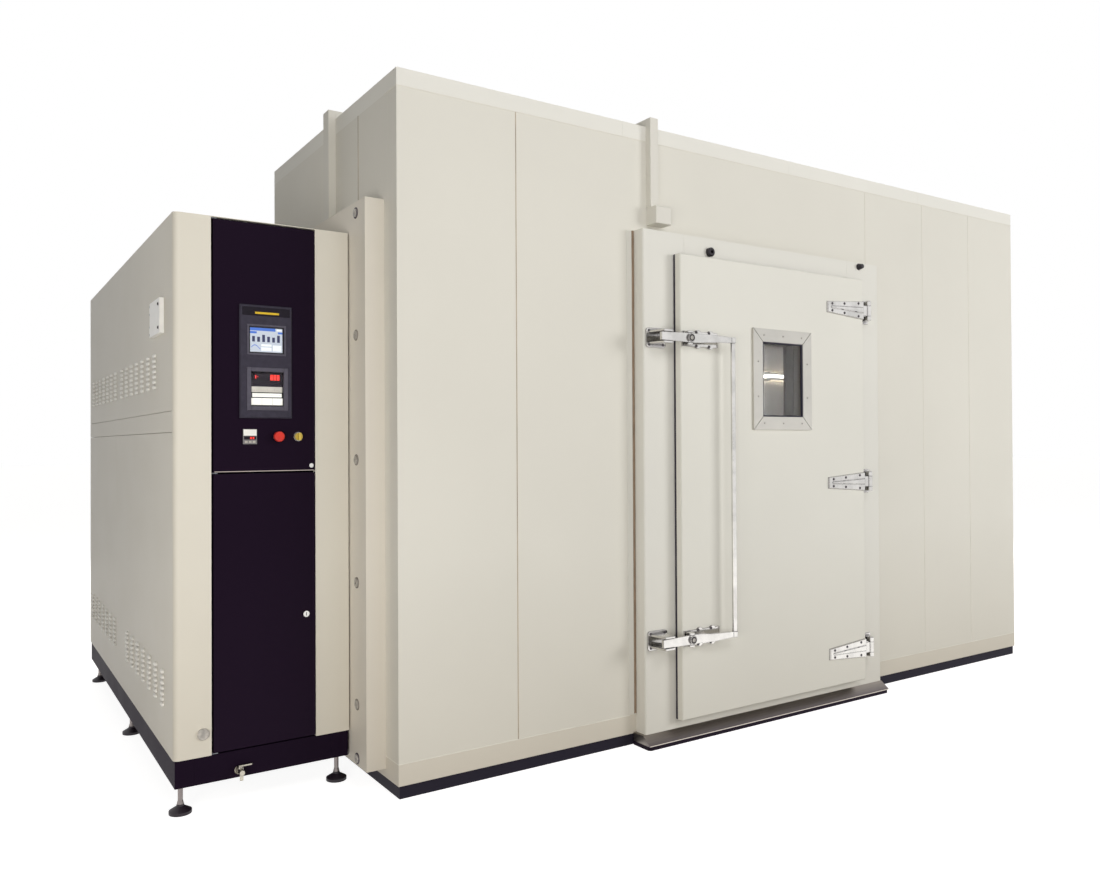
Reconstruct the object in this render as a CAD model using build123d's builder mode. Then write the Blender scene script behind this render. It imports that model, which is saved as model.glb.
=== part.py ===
from build123d import *
import os
from math import cos, pi, radians, sin

os.makedirs("parts", exist_ok=True)

# A walk-in environmental test chamber with its conditioning machine at the left.
# Millimetres. X runs along the front wall, Y into the chamber, Z up, and the origin is
# the middle of the chamber's footprint on the floor.

# Chamber
chamber_width = 3770
chamber_depth = 1420
chamber_height = 2500
wall_thickness = 75
floor_thickness = 75
ceiling_thickness = 62
plinth_height = 45
plinth_inset = 6
joist_width = 50
joist_bays = 10
panel_seam = 0.6
front_seams = (475, 1158, 2480, 2940, 3350)
roof_seams = (975, 1940, 2905)
left_wall_seam = 352

# Doorway, door frame and threshold, measured from the chamber's left face
opening_offset = 1245
opening_width = 1020
opening_height = 1810
frame_offset = 1028
frame_width = 1466
frame_top = 2065
frame_bottom = 50
frame_proud = 60
frame_edge_radius = 8
sill_overhang = 14
sill_depth = 104
sill_nose_height = 18
skirt_height = 16

# Door leaf
leaf_offset = 1184
leaf_width = 1141
leaf_bottom = 90
leaf_top = 1975
leaf_thickness = 30
leaf_edge_radius = 6
plug_clearance = 12
plug_recess = 5
gasket_thickness = 14
gasket_width = 20
gasket_overhang = 0
rest_gap = 0.3

# Window in the door, at eye level
window_offset = 1770
window_center_height = 1481
window_width = 250
window_height = 322
window_border = 58
window_border_thickness = 9
window_bevel = 6
pane_thickness = 6
pane_lap = 10
spacer_width = 8

# Strap hinges
hinge_heights = (240, 1022, 1828)
hinge_axis_gap = 35
hinge_axis_stand = 4
strap_length = 255
strap_tip_height = 52
strap_root_height = 88
strap_thickness = 8
knuckle_radius = 12
knuckle_length = 48
hinge_pin_radius = 6
running_clearance = 0.05
lug_height = 20
bracket_plate_height = 110
bracket_plate_width = 60
bracket_plate_thickness = 6

# Door latches, joined by one vertical bar
latch_heights = (420, 1630)
latch_pivot_offset = 1206
latch_pivot_stand = 30
latch_bar_offset = 1425
latch_bar_radius = 10
latch_bar_stand = 50
lever_thickness = 12
tongue_reach = 150
tongue_half_height = 16
lever_half_height = 19
lever_tip_half_height = 11
latch_boss_radius = 13
ear_thickness = 8
ear_gap = 1
latch_plate_height = 76
latch_plate_length = 174
latch_plate_thickness = 8
adjuster_radius = 17
adjuster_height = 9
strike_width = 100
strike_height = 78
strike_plate_thickness = 6
cheek_thickness = 8
cheek_length = 76
cheek_clearance = 3

# Fittings on the frame header and the wiring duct
grommet_offset = 1385
grommet_height = 2007
grommet_radius = 19
grommet_hole_radius = 7
grommet_depth = 18
bung_offset = 2352
bung_height = 2046
bung_radius = 16
bung_tip_radius = 10
bung_depth = 24
wiring_duct_offset = 1095
wiring_duct_width = 40
wiring_duct_depth = 30
junction_box_width = 80
junction_box_height = 72
junction_box_depth = 62
side_trunking_offset = 590
side_trunking_width = 60

# Air openings between machine and chamber, as (low, high) pairs
air_opening_front = 620
air_opening_width = 620
return_bottom = 300
return_height = 400
supply_bottom = 1500
supply_height = 400
duct_front = 110
duct_back = 1390
duct_bottom = 75
duct_top = 2070
duct_thickness = 71
gasket_strip = 6
cam_lock_heights = (100, 290, 720, 1154, 1596, 2030)
cam_lock_setback = 85
cam_lock_radius = 15
cam_lock_depth = 5
cam_lock_hex_radius = 6
grille_border = 24
grille_depth = 16
grille_blade_count = 11
grille_blade_thickness = 2
grille_blade_tilt = 35
lamp_offset = 3180
lamp_length = 460
lamp_height = 1640
lamp_radius = 24

# Conditioning machine
machine_width = 591
machine_setback = 259
machine_depth = 2171
machine_height = 1970
base_bottom = 95
base_top = 185
base_inset = 4
base_rail_width = 60
base_bays = 6
sheet = 2
floor_plate = 4
pillar_left_width = 118
pillar_right_width = 121
pillar_depth = 24
pillar_corner_radius = 18
post = 40
post_gap = 0.4
tray_depth = 16
upper_panel_bottom = 1322
band_bottom = 1252
side_split = 1241
foot_pad_radius = 36
foot_pad_height = 10
foot_neck_radius = 9
foot_stem_radius = 8
foot_inset = 26
foot_front_setback = 50
foot_middle_setback = 1040
foot_back_setback = 121

# Louvre slots in the machine's left side
slot_width = 40
slot_height = 8
slot_columns = 7
slot_rows = 7
slot_column_pitch = 126
slot_row_pitch = 18.5
upper_slots_height = 1467
lower_slots_height = 385
upper_slot_starts = (323, 1262)
lower_slot_starts = (181, 1296)

# Hinged front panels
door_split_height = 1115
door_split_gap = 6
door_side_gap = 7
door_edge_gap = 2
door_tray_depth = 22
door_hinge_inset = 8
door_hinge_setback = 10
door_pin_radius = 3
door_pin_reach = 14
door_bracket_thickness = 2

# Controls on the upper panel, across from the machine's left face and down from the
# panel's top, from the bezel's top or from the bezel's lower edge
bezel_across = 297
bezel_drop = 277.5
bezel_foot = 26.5
bezel_width = 177
bezel_proud = 10
bezel_bevel = 4
screen_drop = 118.5
screen_width = 117
screen_length = 90
screen_across = 298
recorder_gap = 49
recorder_width = 139
recorder_length = 146
recorder_across = 301
recorder_depth = 110
recorder_door_thickness = 9
recorder_door_proud = 12
recorder_border = 14
recorder_pin_radius = 1.5
recorder_pin_reach = 5
fit_gap = 0.4
protector_across = 243
protector_width = 46
protector_length = 51
protector_proud = 5
protector_depth = 60
stop_across = 338
switch_drop = 62.5
stop_head_radius = 18
stop_head_thickness = 15
stop_stem_radius = 8
stop_travel = 5
stop_stand = 12
selector_across = 408
selector_radius = 13
selector_stem_radius = 6
collar_radius = 16
collar_thickness = 4
lock_across = 435
lock_height = 618
lock_radius = 11
lock_tongue_length = 44
latch_knob_across = 454
latch_knob_rise = 18
latch_knob_radius = 8
latch_tongue_length = 30
tongue_thickness = 3
tongue_width = 12

# Small fittings low on the machine's front, and the connector flap on its side
cap_across = 91
cap_height = 260
cap_radius = 19
cap_depth = 9
cock_across = 206
cock_height = 121
cock_radius = 9
cock_length = 46
cock_flange_radius = 15
cock_handle_length = 34
flap_setback = 156
flap_width = 185
flap_bottom = 1590
flap_height = 120
flap_depth = 14
socket_radius = 20
socket_depth = 8

# Air section inside the machine
section_width = 258
section_front = 580
section_back = 1280
section_wall = 40
section_bottom = 230
section_top = 1920
coil_bottom = 780
coil_height = 300
coil_depth = 190
coil_fins = 20
coil_fin_thickness = 1
coil_end_thickness = 3
coil_tubes_high = 4
coil_tubes_deep = 3
coil_tube_radius = 6
coil_gap = 8.4
heater_bottom = 1150
heater_rod_radius = 5
heater_rods = 6
blower_radius = 150
blower_hub_radius = 32
blower_blades = 6
blower_blade_pitch = 32
blower_width = 44
blade_thickness = 2.5
shroud_thickness = 3
shroud_gap = 6
shroud_lip = 22
motor_radius = 62
motor_length = 150
shaft_radius = 9

# Refrigeration side
condenser_bottom = 420
condenser_height = 620
condenser_depth = 44
condenser_setback = 60
condenser_fins = 16
condenser_fan_radius = 215
condenser_hub_radius = 45
condenser_blades = 5
condenser_blade_pitch = 28
condenser_fan_width = 56
compressor_radius = 105
compressor_height = 330
compressor_back_setbacks = (841, 571)
tank_across = (150, 440)
tank_setbacks = (70, 300)
tank_height = 420
tank_wall = 5
electrical_across = (20, 585)
electrical_setback = 250
electrical_bottom = 1230
electrical_thickness = 6
switchgear_depth = 70

left = -chamber_width / 2
right = chamber_width / 2
front = -chamber_depth / 2
back = chamber_depth / 2
floor_top = plinth_height + floor_thickness
wall_top = chamber_height - ceiling_thickness
inner_left = left + wall_thickness
inner_right = right - wall_thickness
inner_front = front + wall_thickness
inner_back = back - wall_thickness

opening_left = left + opening_offset
opening_right = opening_left + opening_width
opening_top = floor_top + opening_height
frame_left = left + frame_offset
frame_right = frame_left + frame_width
frame_front = front - frame_proud
leaf_left = left + leaf_offset
leaf_right = leaf_left + leaf_width
leaf_back = frame_front - gasket_thickness
leaf_front = leaf_back - leaf_thickness
plug_back = front - plug_recess
window_x = left + window_offset

duct_left = left - duct_thickness
machine_right = duct_left - gasket_strip
machine_left = machine_right - machine_width
machine_front = front + machine_setback
machine_back = machine_front + machine_depth
air_front = front + air_opening_front
air_back = air_front + air_opening_width


def between(low, high):
    return (low + high) / 2


def block(x, y, z, mode=Mode.ADD):
    """A square-edged solid between pairs of limits along X, Y and Z."""
    with BuildSketch(Plane.XY.offset(z[0])) as plan:
        with Locations((between(*x), between(*y))):
            Rectangle(x[1] - x[0], y[1] - y[0])
    extrude(plan.sketch, amount=z[1] - z[0], mode=mode)


def rod(start, direction, radius, length, mode=Mode.ADD):
    """A round bar that starts at a point and runs along a direction."""
    with BuildSketch(Plane(origin=start, z_dir=direction)) as section:
        Circle(radius)
    extrude(section.sketch, amount=length, mode=mode)


def modules(edges, gap):
    """Neighbouring (low, high) spans between a row of edges, a seam apart."""
    return [
        (low + gap / 2 * (low != edges[0]), high - gap / 2 * (high != edges[-1]))
        for low, high in zip(edges, edges[1:])
    ]


# Bolted skid of the chamber: two long rails with joists between them
rail_front = (front + plinth_inset, front + plinth_inset + joist_width)
rail_back = (back - plinth_inset - joist_width, back - plinth_inset)
with BuildPart() as base_frame:
    for rail in (rail_front, rail_back):
        block((left + plinth_inset, right - plinth_inset), rail, (0, plinth_height))
    first_joist = left + plinth_inset + joist_width / 2
    joist_pitch = (chamber_width - 2 * plinth_inset - joist_width) / joist_bays
    for joist in range(joist_bays + 1):
        middle = first_joist + joist * joist_pitch
        block(
            (middle - joist_width / 2, middle + joist_width / 2),
            (rail_front[1] + post_gap, rail_back[0] - post_gap),
            (0, plinth_height),
        )
base_frame.part.label = "base_frame"
export_step(base_frame.part, "parts/base_frame.step")

# Insulated panels, sheet steel over foam, joined at hairline seams
roof_edges = [left] + [left + seam for seam in roof_seams] + [right]
with BuildPart() as floor_panels:
    for span in modules([left, left + roof_seams[1], right], panel_seam):
        block(span, (front, back), (plinth_height, floor_top))
floor_panels.part.label = "floor_panels"
export_step(floor_panels.part, "parts/floor_panels.step")

with BuildPart() as ceiling_panels:
    for span in modules(roof_edges, panel_seam):
        block(span, (front, back), (wall_top, chamber_height))
ceiling_panels.part.label = "ceiling_panels"
export_step(ceiling_panels.part, "parts/ceiling_panels.step")

front_edges = [left] + [left + seam for seam in front_seams] + [right]
front_spans = modules(front_edges, panel_seam)
header_span = front_spans[2]
with BuildPart() as front_wall:
    for span in front_spans[:2] + front_spans[3:]:
        block(span, (front, inner_front), (floor_top, wall_top))
    header_bottom = opening_top + panel_seam
    block(header_span, (front, inner_front), (header_bottom, wall_top))
    block((header_span[0], opening_left), (front, inner_front), (floor_top, opening_top))
    block((opening_right, header_span[1]), (front, inner_front), (floor_top, opening_top))
front_wall.part.label = "front_wall"
export_step(front_wall.part, "parts/front_wall.step")

with BuildPart() as back_wall:
    for span in modules(roof_edges, panel_seam):
        block(span, (inner_back, back), (floor_top, wall_top))
back_wall.part.label = "back_wall"
export_step(back_wall.part, "parts/back_wall.step")

side_wall_span = (inner_front + panel_seam, inner_back - panel_seam)
with BuildPart() as right_wall:
    for span in modules([side_wall_span[0], 0, side_wall_span[1]], panel_seam):
        block((inner_right, right), span, (floor_top, wall_top))
right_wall.part.label = "right_wall"
export_step(right_wall.part, "parts/right_wall.step")

supply_top = supply_bottom + supply_height
return_top = return_bottom + return_height
left_wall_edges = [side_wall_span[0], front + left_wall_seam, air_front]
with BuildPart() as left_wall:
    for span in modules(left_wall_edges, panel_seam):
        block((left, inner_left), span, (floor_top, wall_top))
    block((left, inner_left), (air_back, side_wall_span[1]), (floor_top, wall_top))
    middle_strip = (air_front + panel_seam / 2, air_back - panel_seam)
    for height in ((floor_top, return_bottom), (return_top, supply_bottom), (supply_top, wall_top)):
        block((left, inner_left), middle_strip, height)
left_wall.part.label = "left_wall"
export_step(left_wall.part, "parts/left_wall.step")

# Door frame: two jambs, a header and a bottom rail that stand proud of the wall
with BuildPart() as door_frame:
    jamb_depth = (frame_front, front)
    block((frame_left, opening_left), jamb_depth, (frame_bottom, frame_top))
    block((opening_right, frame_right), jamb_depth, (frame_bottom, frame_top))
    outer_edges = door_frame.edges().filter_by(Axis.Z).group_by(Axis.Y)[0]
    fillet([outer_edges.sort_by(Axis.X)[0], outer_edges.sort_by(Axis.X)[-1]], frame_edge_radius)
    crosspiece = (opening_left + panel_seam, opening_right - panel_seam)
    block(crosspiece, jamb_depth, (opening_top, frame_top))
    block(crosspiece, jamb_depth, (frame_bottom, floor_top))
door_frame.part.label = "door_frame"
export_step(door_frame.part, "parts/door_frame.step")

# Stainless threshold that slopes down from the frame, on a black rubber skirt
sill_left = frame_left - sill_overhang
sill_length = frame_width + sill_overhang
with BuildPart() as threshold_plate:
    with BuildSketch(Plane.YZ.offset(sill_left)) as slope:
        with BuildLine():
            Polyline(
                (front, frame_bottom),
                (frame_front - 2, frame_bottom),
                (front - sill_depth, skirt_height + 4),
                (front - sill_depth, skirt_height),
                (front, skirt_height),
                close=True,
            )
        make_face()
    extrude(slope.sketch, amount=sill_length)
threshold_plate.part.label = "threshold_plate"
export_step(threshold_plate.part, "parts/threshold_plate.step")

with BuildPart() as threshold_skirt:
    block((sill_left, sill_left + sill_length), (front - sill_depth + 3, front), (0, skirt_height))
    chamfer(threshold_skirt.edges().filter_by(Axis.Z).group_by(Axis.Y)[0], 8)
threshold_skirt.part.label = "threshold_skirt"
export_step(threshold_skirt.part, "parts/threshold_skirt.step")

# Door leaf: a slab that laps the frame, with a plug behind it that fills the doorway
hole_width = window_width + 2 * pane_lap
hole_height = window_height + 2 * pane_lap
with BuildPart() as door_leaf:
    block((leaf_left, leaf_right), (leaf_front, leaf_back), (leaf_bottom, leaf_top))
    front_face = door_leaf.faces().sort_by(Axis.Y)[0]
    fillet(front_face.edges(), leaf_edge_radius)
    block(
        (opening_left + plug_clearance, opening_right - plug_clearance),
        (leaf_back, plug_back),
        (floor_top + plug_clearance, opening_top - plug_clearance),
    )
    with BuildSketch(Plane.XZ.offset(-plug_back)) as window_hole:
        with Locations((window_x, window_center_height)):
            Rectangle(hole_width, hole_height)
    extrude(window_hole.sketch, amount=plug_back - leaf_front, mode=Mode.SUBTRACT)
door_leaf.part.label = "door_leaf"
export_step(door_leaf.part, "parts/door_leaf.step")

# Bulb gasket round the back of the leaf's lap, in four lengths
gasket_span = (leaf_left - gasket_overhang, leaf_right - rest_gap)
gasket_rise = (leaf_bottom + rest_gap, leaf_top - rest_gap)
gasket_depth = (leaf_back, frame_front - rest_gap)
with BuildPart() as door_gasket:
    for side in (
        (gasket_span[0], gasket_span[0] + gasket_width),
        (gasket_span[1] - gasket_width, gasket_span[1]),
    ):
        block(side, gasket_depth, gasket_rise)
    fillet(door_gasket.edges().filter_by(Axis.Z).group_by(Axis.Y)[-1], gasket_width / 4)
    level = (gasket_span[0] + gasket_width + rest_gap, gasket_span[1] - gasket_width - rest_gap)
    block(level, gasket_depth, (gasket_rise[0], gasket_rise[0] + gasket_width))
    block(level, gasket_depth, (gasket_rise[1] - gasket_width, gasket_rise[1]))
door_gasket.part.label = "door_gasket"
export_step(door_gasket.part, "parts/door_gasket.step")


def mitred_bar(plane, span, border, thickness, bevel):
    """One bar of a picture frame, lying along the plane's X, its bevel at the glass."""
    with BuildSketch(plane) as outline:
        with BuildLine():
            Polyline(
                (-span / 2 + rest_gap, 0),
                (span / 2 - rest_gap, 0),
                (span / 2 - border - rest_gap, border),
                (-span / 2 + border + rest_gap, border),
                close=True,
            )
        make_face()
    extrude(outline.sketch, amount=thickness, taper=bevel)


# Stainless window frames, mitred at the corners, on both faces of the leaf, and the
# spacer frames that hold the three panes apart
glazing_depth = plug_back - leaf_front - 2 * rest_gap
pane_pitch = (glazing_depth - pane_thickness) / 2
frame_spans = (window_width + 2 * window_border, window_height + 2 * window_border)
with BuildPart() as window_frames:
    for side_y, normal in ((leaf_front, -1), (plug_back, 1)):
        for turn in range(4):
            span, reach = frame_spans[turn % 2], frame_spans[1 - turn % 2] / 2
            angle = radians(90 * turn)
            edge = (
                window_x + normal * reach * sin(angle),
                side_y,
                window_center_height - reach * cos(angle),
            )
            along = (-normal * cos(angle), 0, -sin(angle))
            mitred_bar(
                Plane(origin=edge, x_dir=along, z_dir=(0, normal, 0)),
                span,
                window_border,
                window_border_thickness,
                window_bevel,
            )
    for gap in range(2):
        spacer_front = leaf_front + rest_gap + gap * pane_pitch + pane_thickness + rest_gap
        with BuildSketch(Plane.XZ.offset(-spacer_front)) as ring:
            with Locations((window_x, window_center_height)):
                spacer = (hole_width - 2 * rest_gap, hole_height - 2 * rest_gap)
                Rectangle(*spacer)
                inner = (spacer[0] - 2 * spacer_width, spacer[1] - 2 * spacer_width)
                Rectangle(*inner, mode=Mode.SUBTRACT)
        extrude(ring.sketch, amount=-(pane_pitch - pane_thickness - 2 * rest_gap))
window_frames.part.label = "window_frames"
export_step(window_frames.part, "parts/window_frames.step")

# Heated window of three panes
with BuildPart() as window_panes:
    for pane in range(3):
        y_low = leaf_front + rest_gap + pane * pane_pitch
        block(
            (window_x - hole_width / 2 + rest_gap, window_x + hole_width / 2 - rest_gap),
            (y_low, y_low + pane_thickness),
            (
                window_center_height - hole_height / 2 + rest_gap,
                window_center_height + hole_height / 2 - rest_gap,
            ),
        )
window_panes.part.label = "window_panes"
export_step(window_panes.part, "parts/window_panes.step")

# Cast strap hinges: tapered strap with a raised rib, and a knuckle round the pin
axis_x = leaf_right + hinge_axis_gap
axis_y = leaf_front - hinge_axis_stand
strap_end = leaf_right - 2
with BuildPart() as hinge_straps:
    for height in hinge_heights:
        with BuildSketch(Plane.XZ.offset(-leaf_front)) as strap:
            with BuildLine():
                Polyline(
                    (strap_end - strap_length, height - strap_tip_height / 2),
                    (strap_end, height - strap_root_height / 2),
                    (strap_end, height + strap_root_height / 2),
                    (strap_end - strap_length, height + strap_tip_height / 2),
                    close=True,
                )
            make_face()
        extrude(strap.sketch, amount=strap_thickness, taper=20)
        with BuildSketch(Plane.XZ.offset(-leaf_front + strap_thickness)) as rib:
            with BuildLine():
                Polyline(
                    (strap_end - strap_length + 22, height - 5),
                    (strap_end - 6, height - 14),
                    (strap_end - 6, height + 14),
                    (strap_end - strap_length + 22, height + 5),
                    close=True,
                )
            make_face()
        extrude(rib.sketch, amount=5, taper=30)
        low = height - knuckle_length / 2
        with BuildSketch(Plane.XY.offset(low)) as knuckle:
            with Locations((axis_x, axis_y)):
                Circle(knuckle_radius)
            with Locations((between(axis_x, strap_end - 6), leaf_front - strap_thickness / 2)):
                Rectangle(axis_x - strap_end + 6, strap_thickness - 2)
            with Locations((axis_x, axis_y)):
                Circle(hinge_pin_radius + running_clearance, mode=Mode.SUBTRACT)
        extrude(knuckle.sketch, amount=knuckle_length)
hinge_straps.part.label = "hinge_straps"
export_step(hinge_straps.part, "parts/hinge_straps.step")

# Brackets on the frame, with a lug above and below each knuckle, and their pins
lug_base = (axis_x - 10, axis_x - 10 + bracket_plate_width)
pin_length = knuckle_length + 2 * (lug_height + rest_gap)
with BuildPart() as hinge_brackets:
    for height in hinge_heights:
        block(
            lug_base,
            (frame_front - bracket_plate_thickness, frame_front),
            (height - bracket_plate_height / 2, height + bracket_plate_height / 2),
        )
        for low in (
            height + knuckle_length / 2 + rest_gap,
            height - knuckle_length / 2 - rest_gap - lug_height,
        ):
            with BuildSketch(Plane.XY.offset(low)) as lug:
                with Locations((axis_x, axis_y)):
                    Circle(knuckle_radius)
                with BuildLine():
                    Polyline(
                        (axis_x - 10, axis_y),
                        (axis_x + knuckle_radius, axis_y),
                        (axis_x + 42, frame_front - bracket_plate_thickness),
                        (axis_x - 10, frame_front - bracket_plate_thickness),
                        close=True,
                    )
                make_face()
            extrude(lug.sketch, amount=lug_height)
        pin_low = height - pin_length / 2
        rod((axis_x, axis_y, pin_low), (0, 0, 1), hinge_pin_radius, pin_length)
        rod((axis_x, axis_y, pin_low + pin_length), (0, 0, 1), hinge_pin_radius + 3, 4)
hinge_brackets.part.label = "hinge_brackets"
export_step(hinge_brackets.part, "parts/hinge_brackets.step")

# Latch bases: a lobed plate on the leaf with two ears that carry the lever's pivot pin
pivot_x = left + latch_pivot_offset
pivot_y = leaf_front - latch_pivot_stand
bar_x = left + latch_bar_offset
bar_y = leaf_front - latch_bar_stand
plate_right = pivot_x + latch_plate_length
lobe_width = 0.44 * latch_plate_height
with BuildPart() as latch_bases:
    for height in latch_heights:
        with BuildSketch(Plane.XZ.offset(-leaf_front)) as lobes:
            with Locations((between(pivot_x - 16, plate_right), height)):
                Rectangle(plate_right - pivot_x + 16, 0.8 * latch_plate_height)
            for lobe in (0.38, 0.78):
                with Locations((pivot_x + lobe * latch_plate_length, height)):
                    SlotOverall(latch_plate_height, lobe_width, rotation=90)
        extrude(lobes.sketch, amount=latch_plate_thickness)
        ear_low = height - lever_half_height - ear_gap - ear_thickness
        for low in (ear_low, height + lever_half_height + ear_gap):
            with BuildSketch(Plane.XY.offset(low)) as ear:
                with Locations((pivot_x, pivot_y)):
                    Circle(latch_boss_radius)
                with Locations((pivot_x, between(pivot_y, leaf_front - latch_plate_thickness))):
                    Rectangle(
                        2 * latch_boss_radius, leaf_front - latch_plate_thickness - pivot_y
                    )
            extrude(ear.sketch, amount=ear_thickness)
        pin_reach = 2 * (lever_half_height + ear_gap + ear_thickness)
        pin_start = (pivot_x, pivot_y, height - pin_reach / 2)
        rod(pin_start, (0, 0, 1), hinge_pin_radius, pin_reach)
latch_bases.part.label = "latch_bases"
export_step(latch_bases.part, "parts/latch_bases.step")

# Cranked latch lever: the plan view cut by the tapered front view
half = lever_thickness / 2
crank_start = 0.2 * (bar_x - pivot_x)
crank_end = 0.45 * (bar_x - pivot_x)
with BuildPart() as lever:
    with BuildSketch(Plane.XY.offset(-lever_half_height)) as lever_plan:
        with BuildLine():
            Polyline(
                (-tongue_reach, -half),
                (crank_start, -half),
                (crank_end, bar_y - pivot_y - half),
                (bar_x - pivot_x, bar_y - pivot_y - half),
                (bar_x - pivot_x, bar_y - pivot_y + half),
                (crank_end - 4, bar_y - pivot_y + half),
                (crank_start - 4, half),
                (-tongue_reach, half),
                close=True,
            )
        make_face()
        Circle(latch_boss_radius)
        with Locations((bar_x - pivot_x, bar_y - pivot_y)):
            Circle(latch_bar_radius + 3)
    extrude(lever_plan.sketch, amount=2 * lever_half_height)
    with BuildSketch(Plane.XZ.offset(3 * latch_bar_stand)) as lever_front:
        with BuildLine():
            Polyline(
                (-tongue_reach, -tongue_half_height),
                (-latch_boss_radius, -lever_half_height),
                (latch_boss_radius, -lever_half_height),
                (bar_x - pivot_x, -lever_tip_half_height),
                (bar_x - pivot_x + 40, -lever_tip_half_height),
                (bar_x - pivot_x + 40, lever_tip_half_height),
                (bar_x - pivot_x, lever_tip_half_height),
                (latch_boss_radius, lever_half_height),
                (-latch_boss_radius, lever_half_height),
                (-tongue_reach, tongue_half_height),
                close=True,
            )
        make_face()
    extrude(lever_front.sketch, amount=-6 * latch_bar_stand, mode=Mode.INTERSECT)
    with BuildSketch(Plane.XZ.offset(half)) as adjuster:
        RegularPolygon(adjuster_radius, 8)
    extrude(adjuster.sketch, amount=adjuster_height)
    bore_low = (0, 0, -lever_half_height)
    bore_radius = hinge_pin_radius + running_clearance
    rod(bore_low, (0, 0, 1), bore_radius, 2 * lever_half_height, mode=Mode.SUBTRACT)

with BuildPart() as latch_handle:
    with Locations(*[(pivot_x, pivot_y, height) for height in latch_heights]):
        add(lever.part)
    bar_start = (bar_x, bar_y, latch_heights[0])
    rod(bar_start, (0, 0, 1), latch_bar_radius, latch_heights[1] - latch_heights[0])
latch_handle.part.label = "latch_handle"
export_step(latch_handle.part, "parts/latch_handle.step")

# Strikes on the frame: a plate with a cheek above and below the lever's tongue
tongue_tip = pivot_x - tongue_reach
strike_right = tongue_tip + strike_width - 18
with BuildPart() as latch_strikes:
    for height in latch_heights:
        with BuildSketch(Plane.XZ.offset(-frame_front)) as strike_plate:
            with Locations((strike_right - strike_width / 2, height)):
                RectangleRounded(strike_width, strike_height, 12)
        extrude(strike_plate.sketch, amount=strike_plate_thickness)
        for side in (-1, 1):
            inner = height + side * (tongue_half_height + cheek_clearance)
            outer = inner + side * cheek_thickness
            with BuildSketch(Plane.XY.offset(min(inner, outer))) as cheek:
                with BuildLine():
                    Polyline(
                        (tongue_tip - 6, frame_front - strike_plate_thickness),
                        (tongue_tip - 6 + cheek_length, frame_front - strike_plate_thickness),
                        (tongue_tip - 6 + cheek_length - 14, pivot_y - half - 4),
                        (tongue_tip + 8, pivot_y - half - 4),
                        close=True,
                    )
                make_face()
            extrude(cheek.sketch, amount=cheek_thickness)
latch_strikes.part.label = "latch_strikes"
export_step(latch_strikes.part, "parts/latch_strikes.step")

# Rubber fittings in the frame header: a ring grommet and a tapered bung
with BuildPart() as header_fittings:
    ring_origin = (left + grommet_offset, frame_front, grommet_height)
    with BuildSketch(Plane(origin=ring_origin, z_dir=(0, -1, 0))) as ring:
        Circle(grommet_radius)
    extrude(ring.sketch, amount=grommet_depth)
    chamfer(header_fittings.faces().sort_by(Axis.Y)[0].edges(), 4)
    rod(ring_origin, (0, -1, 0), grommet_hole_radius, grommet_depth, mode=Mode.SUBTRACT)
    bung_origin = (left + bung_offset, frame_front, bung_height)
    bung_plane = Plane(origin=bung_origin, z_dir=(0, -1, 0))
    with BuildSketch(bung_plane, bung_plane.offset(bung_depth)) as bung:
        Circle(bung_radius)
    extrude(bung.sketch.faces()[0], amount=bung_depth, taper=14)
header_fittings.part.label = "header_fittings"
export_step(header_fittings.part, "parts/header_fittings.step")

# Wiring duct: down the front wall to a junction box, over the roof, down the left wall
duct_x = (left + wiring_duct_offset, left + wiring_duct_offset + wiring_duct_width)
duct_level = chamber_height + wiring_duct_depth
box_low = frame_top + 30
box_high = box_low + junction_box_height
trunk_y = (front + side_trunking_offset, front + side_trunking_offset + side_trunking_width)
with BuildPart() as wiring_duct:
    box_x = (duct_x[0] + 2, duct_x[0] + 2 + junction_box_width)
    block(box_x, (front - junction_box_depth, front), (box_low, box_high - panel_seam))
    fillet(wiring_duct.faces().sort_by(Axis.Y)[0].edges(), 5)
    block(duct_x, (front - wiring_duct_depth, front), (box_high, duct_level))
    roof_start = front + panel_seam
    block(duct_x, (roof_start, trunk_y[0] - panel_seam), (chamber_height, duct_level))
    block((left, duct_x[1]), trunk_y, (chamber_height, duct_level))
    trunk_x = (left - wiring_duct_depth, left - panel_seam)
    block(trunk_x, trunk_y, (duct_top, duct_level))
wiring_duct.part.label = "wiring_duct"
export_step(wiring_duct.part, "parts/wiring_duct.step")

# Insulated duct frame between machine and chamber, round the two air openings
duct_span = (front + duct_front, front + duct_back)
duct_x_span = (duct_left, left)
duct_heights = (
    (duct_bottom, return_bottom),
    (return_top, supply_bottom),
    (supply_top, duct_top),
)


def opening_frame(x, seam):
    """Posts and crosspieces round the two air openings, a seam apart."""
    block(x, (duct_span[0], air_front), (duct_bottom, duct_top))
    block(x, (air_back, duct_span[1]), (duct_bottom, duct_top))
    for height in duct_heights:
        block(x, (air_front + seam, air_back - seam), height)


with BuildPart() as duct_frame:
    opening_frame(duct_x_span, panel_seam)
duct_frame.part.label = "duct_frame"
export_step(duct_frame.part, "parts/duct_frame.step")

duct_heights = (
    (base_top, return_bottom),
    (return_top, supply_bottom),
    (supply_top, machine_height - sheet),
)
with BuildPart() as duct_gasket:
    strip_x = (machine_right, duct_left)
    block(strip_x, (machine_front + pillar_depth, air_front), (base_top, duct_heights[2][1]))
    block(strip_x, (air_back, duct_span[1]), (base_top, duct_heights[2][1]))
    for height in duct_heights:
        block(strip_x, (air_front + panel_seam, air_back - panel_seam), height)
duct_gasket.part.label = "duct_gasket"
export_step(duct_gasket.part, "parts/duct_gasket.step")

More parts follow.
